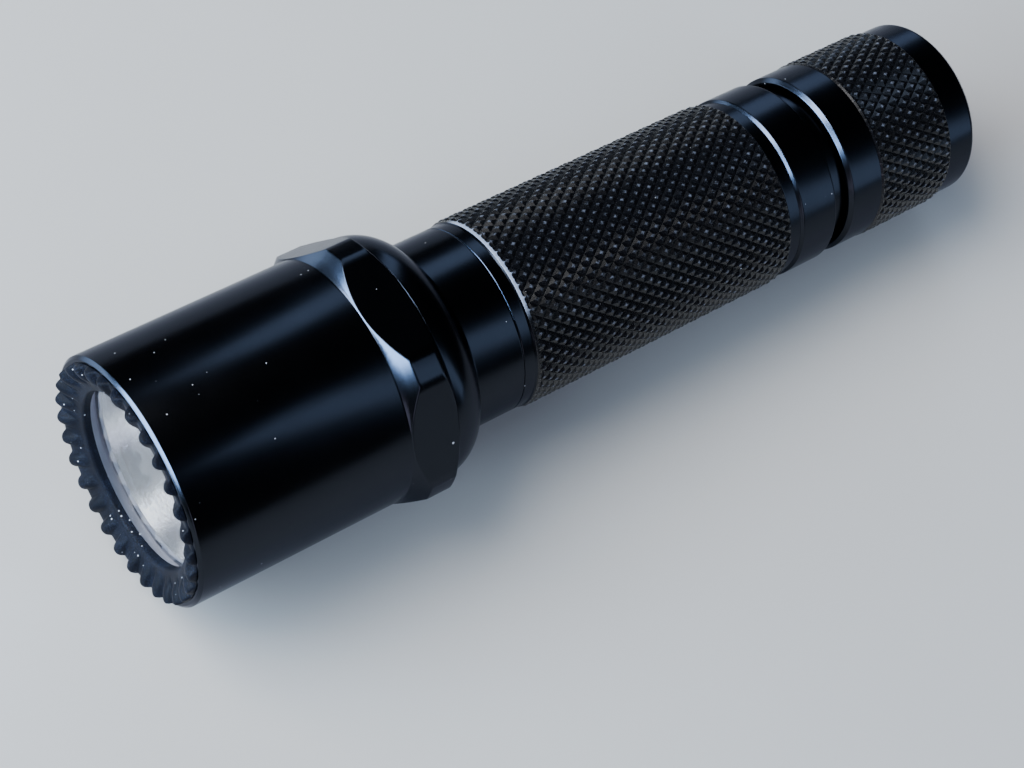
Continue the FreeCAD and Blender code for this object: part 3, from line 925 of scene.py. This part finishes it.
@dataclass
class Head:
    """Head shell with its hex flange, the impact ring, the window, and the neck behind them.

    Stations are millimetres behind the metal rim, and radii are millimetres.
    """
    radius: float = 16.0
    rim_chamfer: float = 0.4
    cylinder_length: float = 29.0
    flange_corner: float = 17.7
    across_flats: float = 32.2
    cone_length: float = 1.9
    land_length: float = 3.5
    rear_length: float = 1.1
    rear_radius: float = 16.2
    bore: float = 13.5
    sleeve_start: float = 20.0
    sleeve_bore: float = 14.55
    ring_radius: float = 15.2
    ring_depth: float = 1.7
    tooth_count: int = 30
    tooth_height: float = 1.0
    tooth_radius: float = 0.98
    window_seat: float = 13.3
    lip_front: float = 3.65
    lip_rear: float = 4.45
    lip_bore: float = 12.95
    edge: float = 0.10
    shoulder: float = 16.0
    shoulder_curve: float = 5.3
    neck_radius: float = 12.3
    neck_thread_bore: float = 11.1
    neck_thread_length: float = 7.55
    neck_bore: float = 11.5
    sleeve_radius: float = 14.4
    shock_groove: float = 13.4
    glass_edge: float = 0.2

    def rim(self) -> float:
        """Place of the metal rim along X, metres."""
        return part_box("bezel_shell")[1][0]

    def shell(self) -> bpy.types.Object:
        """The head shell: its outside is the smaller of a turned profile and a hexagon.

        At angle a the radius is capped at apothem / cos(a'), where a' is the angle from the middle
        of the nearest flat. The rows slide along the cones so that one row runs exactly along the
        crease between cone and flat; the columns hold the corners of the flats.

        Returns:
            The new object.
        """
        apothem = self.across_flats / 2
        half = math.acos(apothem / self.flange_corner)
        sixth = TURN / 6
        flat = np.linspace(-half, half, 17)
        corner = np.linspace(half, sixth - half, 7)[1:-1]
        sector = np.concatenate([flat, corner])
        angle = (sector[None, :] + (np.arange(6) * sixth)[:, None]).ravel() + TURN / 4
        away = np.concatenate([flat, np.full(len(corner), half)])
        cap = np.tile(apothem / np.cos(away), 6)
        cone_start = self.cylinder_length
        land_start = cone_start + self.cone_length
        land_end = land_start + self.land_length
        end = land_end + self.rear_length
        rise = (self.flange_corner - self.radius) / self.cone_length
        fall = (self.flange_corner - self.rear_radius) / self.rear_length
        crease_front = cone_start + (cap - self.radius) / rise
        crease_rear = land_end + np.maximum(self.flange_corner - cap, 0) / fall
        crease_rear = np.minimum(crease_rear, end - 0.02)
        flat_rear = np.minimum(cap, self.rear_radius)
        full = np.ones_like(angle)
        e = self.edge
        chamfer = self.rim_chamfer
        near, close = 0.05, 0.012
        turned = [(0.0, self.ring_radius), (0.0, self.ring_radius + 0.04),
                  (0.0, self.radius - chamfer - near), (close, self.radius - chamfer),
                  (near, self.radius - chamfer + near), (chamfer - near, self.radius - near),
                  (chamfer, self.radius - close), (chamfer + near, self.radius),
                  (cone_start - 0.2, self.radius), (cone_start - 0.03, self.radius)]
        rows = [(s * full, r * full) for s, r in turned]
        for share in (0.02, 0.5, 0.9):
            rows.append((cone_start + (crease_front - cone_start) * share,
                         self.radius + (cap - self.radius) * share))
        slope = np.minimum(e, (cap - self.radius) * 0.5)
        rows.append((crease_front - slope * 0.5 / rise, cap - slope * 0.5))
        rows.append((crease_front + e * 0.15, cap - slope * 0.10))
        rows.append((crease_front + e * 0.8, cap))
        rows.append((crease_front + 3 * e, cap))
        rows.append((crease_rear - 3 * e, cap))
        rows.append((crease_rear - e * 0.8, cap))
        drop = np.minimum(e, np.maximum(cap - flat_rear, 0) * 0.5)
        rows.append((crease_rear + e * 0.05, cap - drop * 0.3))
        rows.append((np.minimum(crease_rear + e * 0.7, end - 0.015), cap - drop * 0.9))
        rows.append((end - close * full, flat_rear))
        rows.append((end * full, flat_rear - 0.03))
        rows.append((end * full, flat_rear - 0.12))
        inside = [(end, self.sleeve_bore), (self.sleeve_start, self.sleeve_bore),
                  (self.sleeve_start - 1.0, self.bore), (self.lip_rear, self.bore),
                  (self.lip_rear, self.lip_bore), (self.lip_front, self.lip_bore),
                  (self.lip_front, self.window_seat), (self.ring_depth, self.window_seat),
                  (self.ring_depth, self.ring_radius)]
        rows += [(s * full, r * full) for s, r in inside]
        station = np.stack([row[0] for row in rows])
        radius = np.stack([row[1] for row in rows])
        points = around(self.rim() - station * MM, radius * MM, angle[None, :])
        faces = grid_faces(len(rows), len(angle), True)
        return new_piece("head_shell", points, faces, Shading.SMOOTH)

    def impact_ring(self) -> bpy.types.Object:
        """The toothed rubber ring.

        Rows follow its section; on the front face the station is pulled forward by a rounded wave
        of the angle, w = (1 - (d / tooth radius)^2)^0.6, times the tooth's height at that radius;
        d is the distance along the circle from the middle of the nearest tooth.

        Returns:
            The new object.
        """
        columns = self.tooth_count * 20
        angle = np.arange(columns) * TURN / columns
        share = self.tooth_count * angle / TURN
        offset = np.abs(share - np.round(share)) * TURN * self.ring_radius / self.tooth_count
        wave = np.clip(1 - (offset / self.tooth_radius) ** 2, 0, 1) ** 0.6
        section = [(self.ring_depth, 15.2, 0.0), (0.15, 15.2, 0.0), (-0.02, 15.19, 0.35),
                   (-0.10, 15.13, 0.72), (-0.14, 15.02, 0.90), (-0.14, 14.85, 0.97),
                   (-0.12, 14.6, 1.0), (-0.06, 14.3, 1.0), (0.03, 14.0, 0.97),
                   (0.12, 13.65, 0.90), (0.22, 13.3, 0.74), (0.32, 12.95, 0.50),
                   (0.42, 12.6, 0.24), (0.50, 12.3, 0.07), (0.56, 12.0, 0.0), (0.62, 11.7, 0.0),
                   (0.68, 11.5, 0.0), (0.78, 11.38, 0.0), (0.95, 11.32, 0.0), (1.2, 11.3, 0.0),
                   (self.ring_depth, 11.3, 0.0)]
        table = np.array(section)
        reach = (self.tooth_height - 0.14) * table[:, 2:3]
        station = table[:, :1] - reach * wave[None, :]
        pinch = 0.10 * table[:, 2:3] * (1 - wave[None, :])
        radius = table[:, 1:2] - pinch * (table[:, 1:2] > 14.9)
        points = around(self.rim() - station * MM, radius * MM, angle[None, :])
        faces = grid_faces(len(section), columns, True)
        return new_piece("impact_ring_rubber", points, faces, Shading.SMOOTH, 75.0)

    def window(self) -> bpy.types.Object:
        """The glass disc, with ground edges.

        Returns:
            The new object.
        """
        low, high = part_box("window")
        radius, length, edge = high[1] / MM, (high[0] - low[0]) / MM, self.glass_edge
        outline = [(0, 0), (0, radius - edge), (edge, radius), (length - edge, radius),
                   (length, radius - edge), (length, 0)]
        return lathe("window_disc", high[0], outline, 128)

    def neck(self) -> bpy.types.Object:
        """Shoulder, neck and sleeve; the shoulder is an arc that starts level with the flange.

        Returns:
            The new object.
        """
        low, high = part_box("head_neck")
        front = high[0]
        length = (front - low[0]) / MM
        head_end = (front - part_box("bezel_shell")[0][0]) / MM
        start = head_end + 0.1
        shoulder, neck, curve = self.shoulder, self.neck_radius, self.shoulder_curve
        fall = shoulder - neck
        big = (fall ** 2 + curve ** 2) / (2 * fall)
        turn = np.linspace(0, math.asin(curve / big), 15)
        arc = [(start + 0.2 + big * math.sin(t), shoulder - big * (1 - math.cos(t))) for t in turn]
        sleeve, groove = self.sleeve_radius, self.shock_groove
        bore, thread = self.neck_bore, self.neck_thread_bore
        thread_end = length - self.neck_thread_length
        outline = [(0, bore), (0, sleeve, 0.2), (2.0, sleeve), (2.0, groove), (3.6, groove),
                   (3.6, sleeve), (head_end - 3.6, sleeve), (head_end - 3.6, groove),
                   (head_end - 2.0, groove), (head_end - 2.0, sleeve), (head_end + 0.05, sleeve),
                   (head_end + 0.05, 15.85, 0.05)]
        outline += [(start, shoulder, 0.08)] + arc[1:-1] + [arc[-1] + (0.12,)]
        outline += [(length, neck, 0.14), (length, thread), (thread_end, thread),
                    (thread_end, bore)]
        return lathe("head_neck_shell", front, outline, 224)

    def build(self, finish: Finishes) -> None:
        """Make and dress the pieces of the head.

        Args:
            finish: every finish of the light.
        """
        dress(self.shell(), "head", finish.anodised, ("bezel_shell",))
        dress(self.impact_ring(), "head", finish.ring_rubber, ("impact_ring",))
        glass = dress(self.window(), "head", finish.window, ("window",))
        glass.data.materials.append(finish.ground_edge)
        count = len(glass.data.polygons)
        normal = np.empty(count * 3)
        glass.data.polygons.foreach_get("normal", normal)
        rim = np.abs(normal.reshape(-1, 3)[:, 0]) < 0.9
        glass.data.polygons.foreach_set("material_index", rim.astype(np.int32))
        dress(self.neck(), "head", finish.anodised, ("head_neck",))
        dress_node("window_gasket", finish.silicone)
        for node in ("front_shock_ring", "rear_shock_ring"):
            dress_node(node, finish.seal_rubber)
        dress_node("snap_ring", finish.steel)


# ---------------------------------------------------------------------------- lamp


@dataclass
class Lamp:
    """Reflector, bulb and the contacts behind it; sizes in millimetres."""
    mouth: float = 12.2
    hole: float = 2.9
    depth: float = 20.25
    nose: float = 12.85
    outside: float = 13.2
    back: float = 12.7
    collar: float = 8.6
    collar_bore: float = 5.5
    glass_wall: float = 0.4
    filament_turns: int = 11
    filament_radius: float = 0.17
    filament_wire: float = 0.045
    outer_coil: tuple = (9.85, 9.3)
    centre_coil: tuple = (2.3, 1.9)
    coil_gap: float = 0.05

    def bowl(self) -> tuple:
        """Vertex station and four focal lengths of the bowl, from r^2 = four_focal (vertex - s)."""
        four_focal = (self.mouth ** 2 - self.hole ** 2) / self.depth
        return self.depth + self.hole ** 2 / four_focal, four_focal

    def reflector(self) -> bpy.types.Object:
        """Parabolic bowl with a rim and a collar.

        Returns:
            The new object.
        """
        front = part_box("reflector")[1][0]
        vertex, four_focal = self.bowl()
        radii = np.linspace(self.mouth, self.hole, 40)
        bowl = [(vertex - r ** 2 / four_focal, r) for r in radii]
        end = self.depth
        outside = [(end + 1.3, self.hole), (end + 1.3, self.collar_bore),
                   (end + 2.6, self.collar_bore), (end + 2.6, self.collar, 0.2),
                   (end - 3.0, self.collar, 0.3), (3.3, self.back, 0.3), (2.3, self.outside, 0.2),
                   (0.8, self.outside, 0.1), (0.8, self.nose), (0, self.nose, 0.1)]
        return lathe("reflector_bowl", front, bowl + outside, 128)

    def envelope(self) -> bpy.types.Object:
        """Glass envelope: a tube with a domed end, the dome as an arc of its outline.

        Returns:
            The new object.
        """
        low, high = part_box("bulb_envelope")
        radius = high[1] / MM
        length = (high[0] - low[0]) / MM
        turn = np.linspace(0, math.pi / 2, 12)
        dome = [(radius - radius * math.cos(t), radius * math.sin(t)) for t in turn]
        inner = radius - self.glass_wall
        hollow = [(radius - inner * math.cos(t), inner * math.sin(t)) for t in turn[::-1]]
        outline = dome + [(length, radius), (length, inner)] + hollow
        return lathe("bulb_glass", high[0], outline, 48)

    def filament(self) -> bpy.types.Object:
        """Coiled filament: a helix about a line across the axis.

        Returns:
            The new object.
        """
        low, high = np.array(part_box("filament"))
        u = np.linspace(0, 1, self.filament_turns * 16)
        angle = TURN * self.filament_turns * u
        out = np.stack([np.cos(angle), np.zeros_like(u), np.sin(angle)], 1)
        path = (low + high) / 2 + out * (self.filament_radius * MM)
        path[:, 1] = low[1] + 0.1 * MM + (high[1] - low[1] - 0.2 * MM) * u
        forward = np.gradient(path, axis=0)
        forward /= np.linalg.norm(forward, axis=1)[:, None]
        side = np.cross(forward, out)
        return tube("filament_coil", path, out, side, self.filament_wire * MM, 6)

    def build(self, finish: Finishes) -> None:
        """Make and dress the pieces of the lamp.

        Args:
            finish: every finish of the light.
        """
        dress(self.reflector(), "lamp", finish.mirror, ("reflector",))
        dress(self.envelope(), "lamp", finish.bulb, ("bulb_envelope",))
        dress(self.filament(), "lamp", finish.tungsten, ("filament",))
        dress_node("filament_posts", finish.tungsten)
        dress_node("lamp_base", finish.ceramic)
        dress_node("lamp_socket", finish.brass)
        dress_node("lamp_contact", finish.brass)
        gap = self.coil_gap * MM
        socket, tube_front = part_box("lamp_socket")[0][0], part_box("body_tube")[1][0]
        outer = spring("lamp_outer_coil", tube_front + gap, socket - gap, self.outer_coil, 4.2, 0.4)
        dress(outer, "body", finish.steel, ("lamp_outer_spring",),
              ("lamp", tube_front + MM, socket - MM))
        contact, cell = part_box("lamp_contact")[0][0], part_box("front_cell_terminal")[1][0]
        centre = spring("lamp_centre_coil", cell + gap, contact - gap, self.centre_coil, 6.2, 0.35)
        dress(centre, "body", finish.steel, ("lamp_centre_spring",),
              ("lamp", cell + MM, contact - MM))


# ---------------------------------------------------------------------------- body


@dataclass
class Body:
    """Body tube with its threads and collars, the knurled ring round it, seals and cells.

    Sizes in millimetres; stations run back from the tube's front end.
    """
    bore: float = 8.7
    thread: float = 11.0
    pitch: float = 1.0
    thread_depth: float = 0.45
    front_thread: float = 7.0
    collar: float = 12.3
    collar_length: float = 1.75
    chamfer: float = 0.4
    crest: float = 12.7
    knurl_length: float = 40.0
    knurl_end: float = 0.35
    band: float = 12.1
    band_length: float = 1.7
    rear_collar: float = 12.4
    rear_collar_length: float = 5.9
    rear_chamfer: float = 0.4
    relief: float = 10.9
    relief_length: float = 3.8
    seal_groove: float = 1.5
    tail_thread: float = 5.9
    groove_depth: float = 1.2
    neck_groove: tuple = (2.1, 0.6)
    ground: float = 12.05
    segments: int = 192

    def knurl_start(self) -> float:
        """Place of the knurled ring's front edge along X, metres."""
        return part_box("body_tube")[1][0] - (self.front_thread + self.collar_length - 0.1) * MM

    def shell(self) -> bpy.types.Object:
        """The tube, with the ground that the knurled ring lies in and both threads.

        Every row is a ring of the outline; on the two threads the radius is the crest less the
        depth times one less the thread's height.

        Returns:
            The new object.
        """
        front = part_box("body_tube")[1][0]
        shoulder = self.front_thread
        knurl = shoulder + self.collar_length + self.chamfer
        knurl_rear = knurl + self.knurl_length
        rear = knurl_rear + self.knurl_end + self.band_length
        rear_end = rear + self.rear_collar_length
        groove = rear_end + self.relief_length
        thread = groove + self.seal_groove
        end = thread + self.tail_thread
        ground = self.ground
        deep = self.thread - self.groove_depth
        groove_front, groove_rear = (shoulder - back for back in self.neck_groove)
        outline = [(0, self.bore, 0.1), (0, self.thread - 0.4, 0.1), (0.4, self.thread, 0.1)]
        outline += [(s, self.thread) for s in np.arange(0.6, shoulder - 2.3, self.pitch / 8)]
        outline += [(groove_front, self.thread), (groove_front, deep),
                    (groove_rear, deep), (groove_rear, self.thread),
                    (shoulder, self.thread), (shoulder, self.collar, 0.13),
                    (shoulder + self.collar_length - 0.2, self.collar, 0.05),
                    (knurl - 0.35, ground + 0.35), (knurl - 0.1, ground),
                    (knurl_rear + 0.1, ground),
                    (knurl_rear + self.knurl_end, self.band, 0.1), (rear, self.band, 0.08),
                    (rear, self.rear_collar - self.rear_chamfer, 0.06),
                    (rear + self.rear_chamfer, self.rear_collar, 0.08),
                    (rear_end, self.rear_collar, 0.2), (rear_end, self.relief, 0.1),
                    (groove, self.relief), (groove, self.relief - self.groove_depth),
                    (thread, self.relief - self.groove_depth), (thread, self.relief),
                    (thread + 0.1, self.thread)]
        outline += [(s, self.thread) for s in np.arange(thread + 0.2, end - 0.5, self.pitch / 8)]
        outline += [(end - 0.4, self.thread, 0.1), (end, self.thread - 0.4, 0.1),
                    (end, self.bore, 0.1)]
        profile = soften(outline)
        angle = np.arange(self.segments)[None, :] * TURN / self.segments
        station, radius = profile[:, :1], profile[:, 1:]
        x = front / MM - station
        height = thread_height(x, angle, self.pitch)
        first = (station > 0.55) & (station < shoulder - 2.35)
        second = (station > thread + 0.15) & (station < end - 0.45)
        cut = np.where(first | second, 1.0, 0.0) * self.thread_depth * (1 - height)
        points = around(x * MM, (radius - cut) * MM, angle)
        faces = grid_faces(len(profile), self.segments, True)
        return new_piece("body_shell", points, faces, Shading.SMOOTH)

    def knurl(self) -> bpy.types.Object:
        """The knurled ring, from the front chamfer to the rear one.

        Returns:
            The new object.
        """
        length = self.knurl_length + self.chamfer + self.knurl_end + 0.1
        return Knurling(crest=self.crest).build(
            "body_knurl", self.knurl_start(), length, 0.50, 0.45, 12.2, 12.12)

    def build(self, finish: Finishes) -> None:
        """Make and dress the body.

        Args:
            finish: every finish of the light.
        """
        dress(self.shell(), "body", finish.anodised, ("body_tube",))
        dress(self.knurl(), "body", finish.body_knurl)
        for node in ("neck_seal", "tail_seal"):
            dress_node(node, finish.seal_rubber)
        for cell in ("front_cell", "rear_cell"):
            dress_node(cell + "_can", finish.nickel)
            dress_node(cell + "_sleeve", finish.wrap)
            dress_node(cell + "_terminal", finish.nickel)


# ---------------------------------------------------------------------------- tail


@dataclass
class Tail:
    """Tail cap with its knurled band, the push button, and the switch parts inside.

    Sizes in millimetres; stations run back from the cap's front end.
    """
    radius: float = 12.25
    length: float = 22.7
    front_chamfer: float = 0.5
    smooth_length: float = 5.4
    knurl_radius: float = 12.45
    knurl_length: float = 12.5
    knurl_chamfer: float = 0.35
    end_radius: float = 12.0
    end_chamfer: float = 0.7
    skirt_bore: float = 11.3
    thread_bore: float = 11.1
    chamber: float = 10.4
    pocket: float = 9.6
    wall: float = 4.0
    hole: float = 8.1
    ground: float = 11.9
    button_fit: float = 0.15
    button_dish: float = 0.5
    dish_share: float = 0.82
    button_flange: float = 9.3
    button_flange_length: float = 1.3
    tail_coil: tuple = (6.2, 4.8, 3.4)
    contact_coil: tuple = (8.3, 9.3)
    wire: float = 0.35
    coil_gap: float = 0.05

    def shell(self) -> bpy.types.Object:
        """The cap, with a ground for the knurled ring.

        Returns:
            The new object.
        """
        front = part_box("tail_cap")[1][0]
        knurl = self.smooth_length
        knurl_rear = knurl + self.knurl_length
        wall = self.length - self.wall
        thread = self.length - 17.5
        chamber = self.length - 11.4
        outline = [(0, self.skirt_bore, 0.1), (0, self.radius - self.front_chamfer, 0.06),
                   (self.front_chamfer, self.radius, 0.08), (knurl, self.radius, 0.05),
                   (knurl + 0.15, self.ground), (knurl_rear - 0.15, self.ground),
                   (knurl_rear, self.end_radius, 0.05),
                   (self.length - self.end_chamfer, self.end_radius, 0.25),
                   (self.length, self.end_radius - self.end_chamfer, 0.25),
                   (self.length, self.hole + 0.3, 0.12), (self.length - 0.3, self.hole, 0.12),
                   (wall, self.hole), (wall, self.pocket), (wall - 2.9, self.pocket),
                   (wall - 2.9, self.chamber), (chamber, self.chamber), (chamber, self.thread_bore),
                   (thread, self.thread_bore), (thread, self.skirt_bore)]
        return lathe("tail_cap_shell", front, outline, 224)

    def knurl(self) -> bpy.types.Object:
        """The knurled band of the cap.

        Returns:
            The new object.
        """
        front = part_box("tail_cap")[1][0]
        band = Knurling(around_count=51, pitch=2.3, depth=0.32, crest=self.knurl_radius,
                        inner=11.85)
        return band.build("tail_cap_knurl", front - self.smooth_length * MM, self.knurl_length,
                          0.3, 0.35, 12.2, 12.05)

    def button(self) -> bpy.types.Object:
        """Push button with a dished face, a soft rim and the flange that holds it.

        Stations run forwards from the button's rear, so they are negative here. The dish's
        station is -depth (1 - k^2) at the radius k times the dish's edge.

        Returns:
            The new object.
        """
        low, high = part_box("push_button")
        rear = low[0]
        length = (high[0] - rear) / MM
        stem = self.hole - self.button_fit
        dish_edge = stem * self.dish_share
        step = length - self.button_flange_length
        dish = [(-self.button_dish * (1 - k ** 2), dish_edge * k) for k in np.linspace(0, 1, 18)]
        profile = dish[:-1] + [(0, dish_edge, 0.3), (0, stem, 0.5), (-1.8, stem), (-step, stem),
                               (-step, self.button_flange, 0.2),
                               (-length, self.button_flange, 0.2), (-length, 0)]
        return lathe("push_button_cap", rear, profile, 128)

    def build(self, finish: Finishes) -> None:
        """Make and dress the tail.

        Args:
            finish: every finish of the light.
        """
        dress(self.shell(), "cap", finish.anodised, ("tail_cap",))
        dress(self.knurl(), "cap", finish.cap_knurl)
        dress(self.button(), "button", finish.button_rubber, ("push_button",))
        dress_node("button_seal", finish.seal_rubber)
        dress_node("slip_ring", finish.nylon)
        dress_node("button_plunger", finish.nylon)
        dress_node("contact_disc", finish.brass)
        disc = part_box("contact_disc")[1][0]
        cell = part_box("rear_cell_can")[0][0]
        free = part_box("contact_spring")[1][0]
        gap = self.coil_gap * MM
        near, far = disc + gap, cell - gap
        middle = (near + far) / 2
        wide_end, waist, narrow_end = self.tail_coil
        rear = spring("tail_coil_rear", near, middle, (wide_end, waist), 1.6, self.wire, 0.0)
        dress(rear, "slip_washer", finish.steel, ("tail_spring",),
              ("button", middle - 0.4 * MM, near + 0.7 * MM))
        front = spring("tail_coil_front", middle, far, (waist, narrow_end), 1.6, self.wire, 0.0)
        dress(front, "body", finish.steel, (),
              ("slip_washer", far - 0.7 * MM, middle + 0.4 * MM))
        wide = spring("contact_coil", near, free, self.contact_coil, 2.4, self.wire)
        dress(wide, "button", finish.steel, ("contact_spring",))


# ---------------------------------------------------------------------------- studio


@dataclass
class Studio:
    """Pale floor, soft lights and the camera.

    Angles are degrees; distance and aim are millimetres, focal is millimetres of lens. Each light
    is its name, the two ends of its middle line, its width, its watts and its colour.
    """
    azimuth: float = 123.0
    elevation: float = 58.44
    roll: float = 26.14
    distance: float = 303.2
    aim: tuple = (13.0, 10.0)
    focal: float = 87.04
    lean: float = 2.66
    floor_half: float = 0.9
    lights: tuple = (
        ("key", ((0.25, -0.54, 0.66), (0.66, -0.14, 0.74)), 0.6, 10.0, (0.98, 0.98, 1.0)),
        ("front", ((0.66, -0.62, 0.24), (0.82, 0.30, 0.40)), 0.36, 15.0, (0.60, 0.78, 1.0)),
        ("side", ((0.26, 0.82, 0.20), (0.66, 0.70, 0.24)), 0.40, 1.6, (0.80, 0.76, 1.0)),
        ("near_strip", ((-0.10, 0.36, 0.80), (-0.66, 0.80, 0.14)), 0.20, 1.8, (0.52, 0.69, 1.0)),
        ("far_strip", ((-0.12, -0.50, 0.70), (-0.68, -0.79, 0.20)), 0.20, 1.8, (0.52, 0.69, 1.0)))
    sky: tuple = (0.80, 0.88, 1.0, 1.0)
    sky_strength: float = 0.03

    def floor(self) -> None:
        """A large pale sheet; it leans so that the flange and the tail's rim both rest on it.

        Point (i, j) of the grid has z = pivot + tan(lean) (x_pivot - x).
        """
        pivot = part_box("bezel_shell")[0][0] + Head().rear_length * MM
        parts = 24
        side = np.linspace(-self.floor_half, self.floor_half, parts + 1)
        x, y = np.meshgrid(side, side, indexing="ij")
        z = math.tan(math.radians(self.lean)) * (pivot - x)
        points = np.stack([x.ravel(), y.ravel(), z.ravel()], axis=1)
        i, j = np.meshgrid(np.arange(parts), np.arange(parts), indexing="ij")
        row = parts + 1
        corner = (i * row + j).ravel()
        faces = np.stack([corner, corner + row, corner + row + 1, corner + 1], axis=1)
        mesh = bpy.data.meshes.new("floor")
        mesh.from_pydata(points.tolist(), [], faces.tolist())
        floor = bpy.data.objects.new("floor", mesh)
        bpy.context.scene.collection.objects.link(floor)
        kit = Kit("floor_paper")
        cloud = kit.noise(60.0, 3.0)
        kit.set(Base_Color=kit.mix(cloud, (0.60, 0.585, 0.555, 1.0), (0.66, 0.645, 0.615, 1.0)),
                Roughness=0.75)
        floor.data.materials.append(kit.material)

    def strip(self, name: str, ends: tuple, width: float, power: float, colour: tuple) -> None:
        """A rectangular soft light between two points, turned to face the flashlight's middle.

        Args:
            name: name of the lamp.
            ends: the two ends of its long middle line, metres.
            width: its width, metres.
            power: watts.
            colour: red, green and blue.
        """
        first, last = Vector(ends[0]), Vector(ends[1])
        middle = (first + last) / 2
        back = (middle - Vector((0, 0, AXIS_HEIGHT))).normalized()
        along = last - first
        length = along.length
        along = (along - back * along.dot(back)).normalized()
        data = bpy.data.lights.new(name, "AREA")
        data.shape = "RECTANGLE"
        data.size, data.size_y = length, width
        data.energy = power
        data.color = colour
        lamp = bpy.data.objects.new(name, data)
        turn = Matrix((along, back.cross(along), back)).transposed()
        lamp.matrix_world = Matrix.Translation(middle) @ turn.to_4x4()
        bpy.context.scene.collection.objects.link(lamp)

    def back(self, azimuth: float, elevation: float) -> Vector:
        """Unit vector from the middle towards a viewer.

        Args:
            azimuth: degrees, 0 when the view runs along +Y.
            elevation: degrees above the level.

        Returns:
            The vector.
        """
        a, e = math.radians(azimuth), math.radians(elevation)
        return Vector((math.sin(a) * math.cos(e), -math.cos(a) * math.cos(e), math.sin(e)))

    def camera(self) -> None:
        """The camera, turned about its view by the roll."""
        data = bpy.data.cameras.new("camera")
        data.lens = self.focal
        data.sensor_width = 36.0
        data.clip_start = 0.01
        camera = bpy.data.objects.new("camera", data)
        back = self.back(self.azimuth, self.elevation)
        target = Vector((self.aim[0] * MM, self.aim[1] * MM, AXIS_HEIGHT))
        upright = back.to_track_quat("Z", "Y").to_matrix()
        turned = upright @ Matrix.Rotation(math.radians(self.roll), 3, "Z")
        place = Matrix.Translation(target + back * self.distance * MM)
        camera.matrix_world = place @ turned.to_4x4()
        bpy.context.scene.collection.objects.link(camera)
        bpy.context.scene.camera = camera

    def build(self) -> None:
        """Set the stage."""
        self.floor()
        for name, ends, width, power, colour in self.lights:
            self.strip(name, ends, width, power, colour)
        world = bpy.data.worlds.new("studio")
        world.use_nodes = True
        background = world.node_tree.nodes["Background"]
        background.inputs["Color"].default_value = self.sky
        background.inputs["Strength"].default_value = self.sky_strength
        bpy.context.scene.world = world
        self.camera()


def main() -> None:
    """Build the light piece by piece."""
    logging.basicConfig(level=logging.INFO, format="%(name)s %(message)s")
    Studio().build()
    finish = Finishes()
    Head().build(finish)
    Lamp().build(finish)
    Body().build(finish)
    Tail().build(finish)


if __name__ == "__main__":
    main()
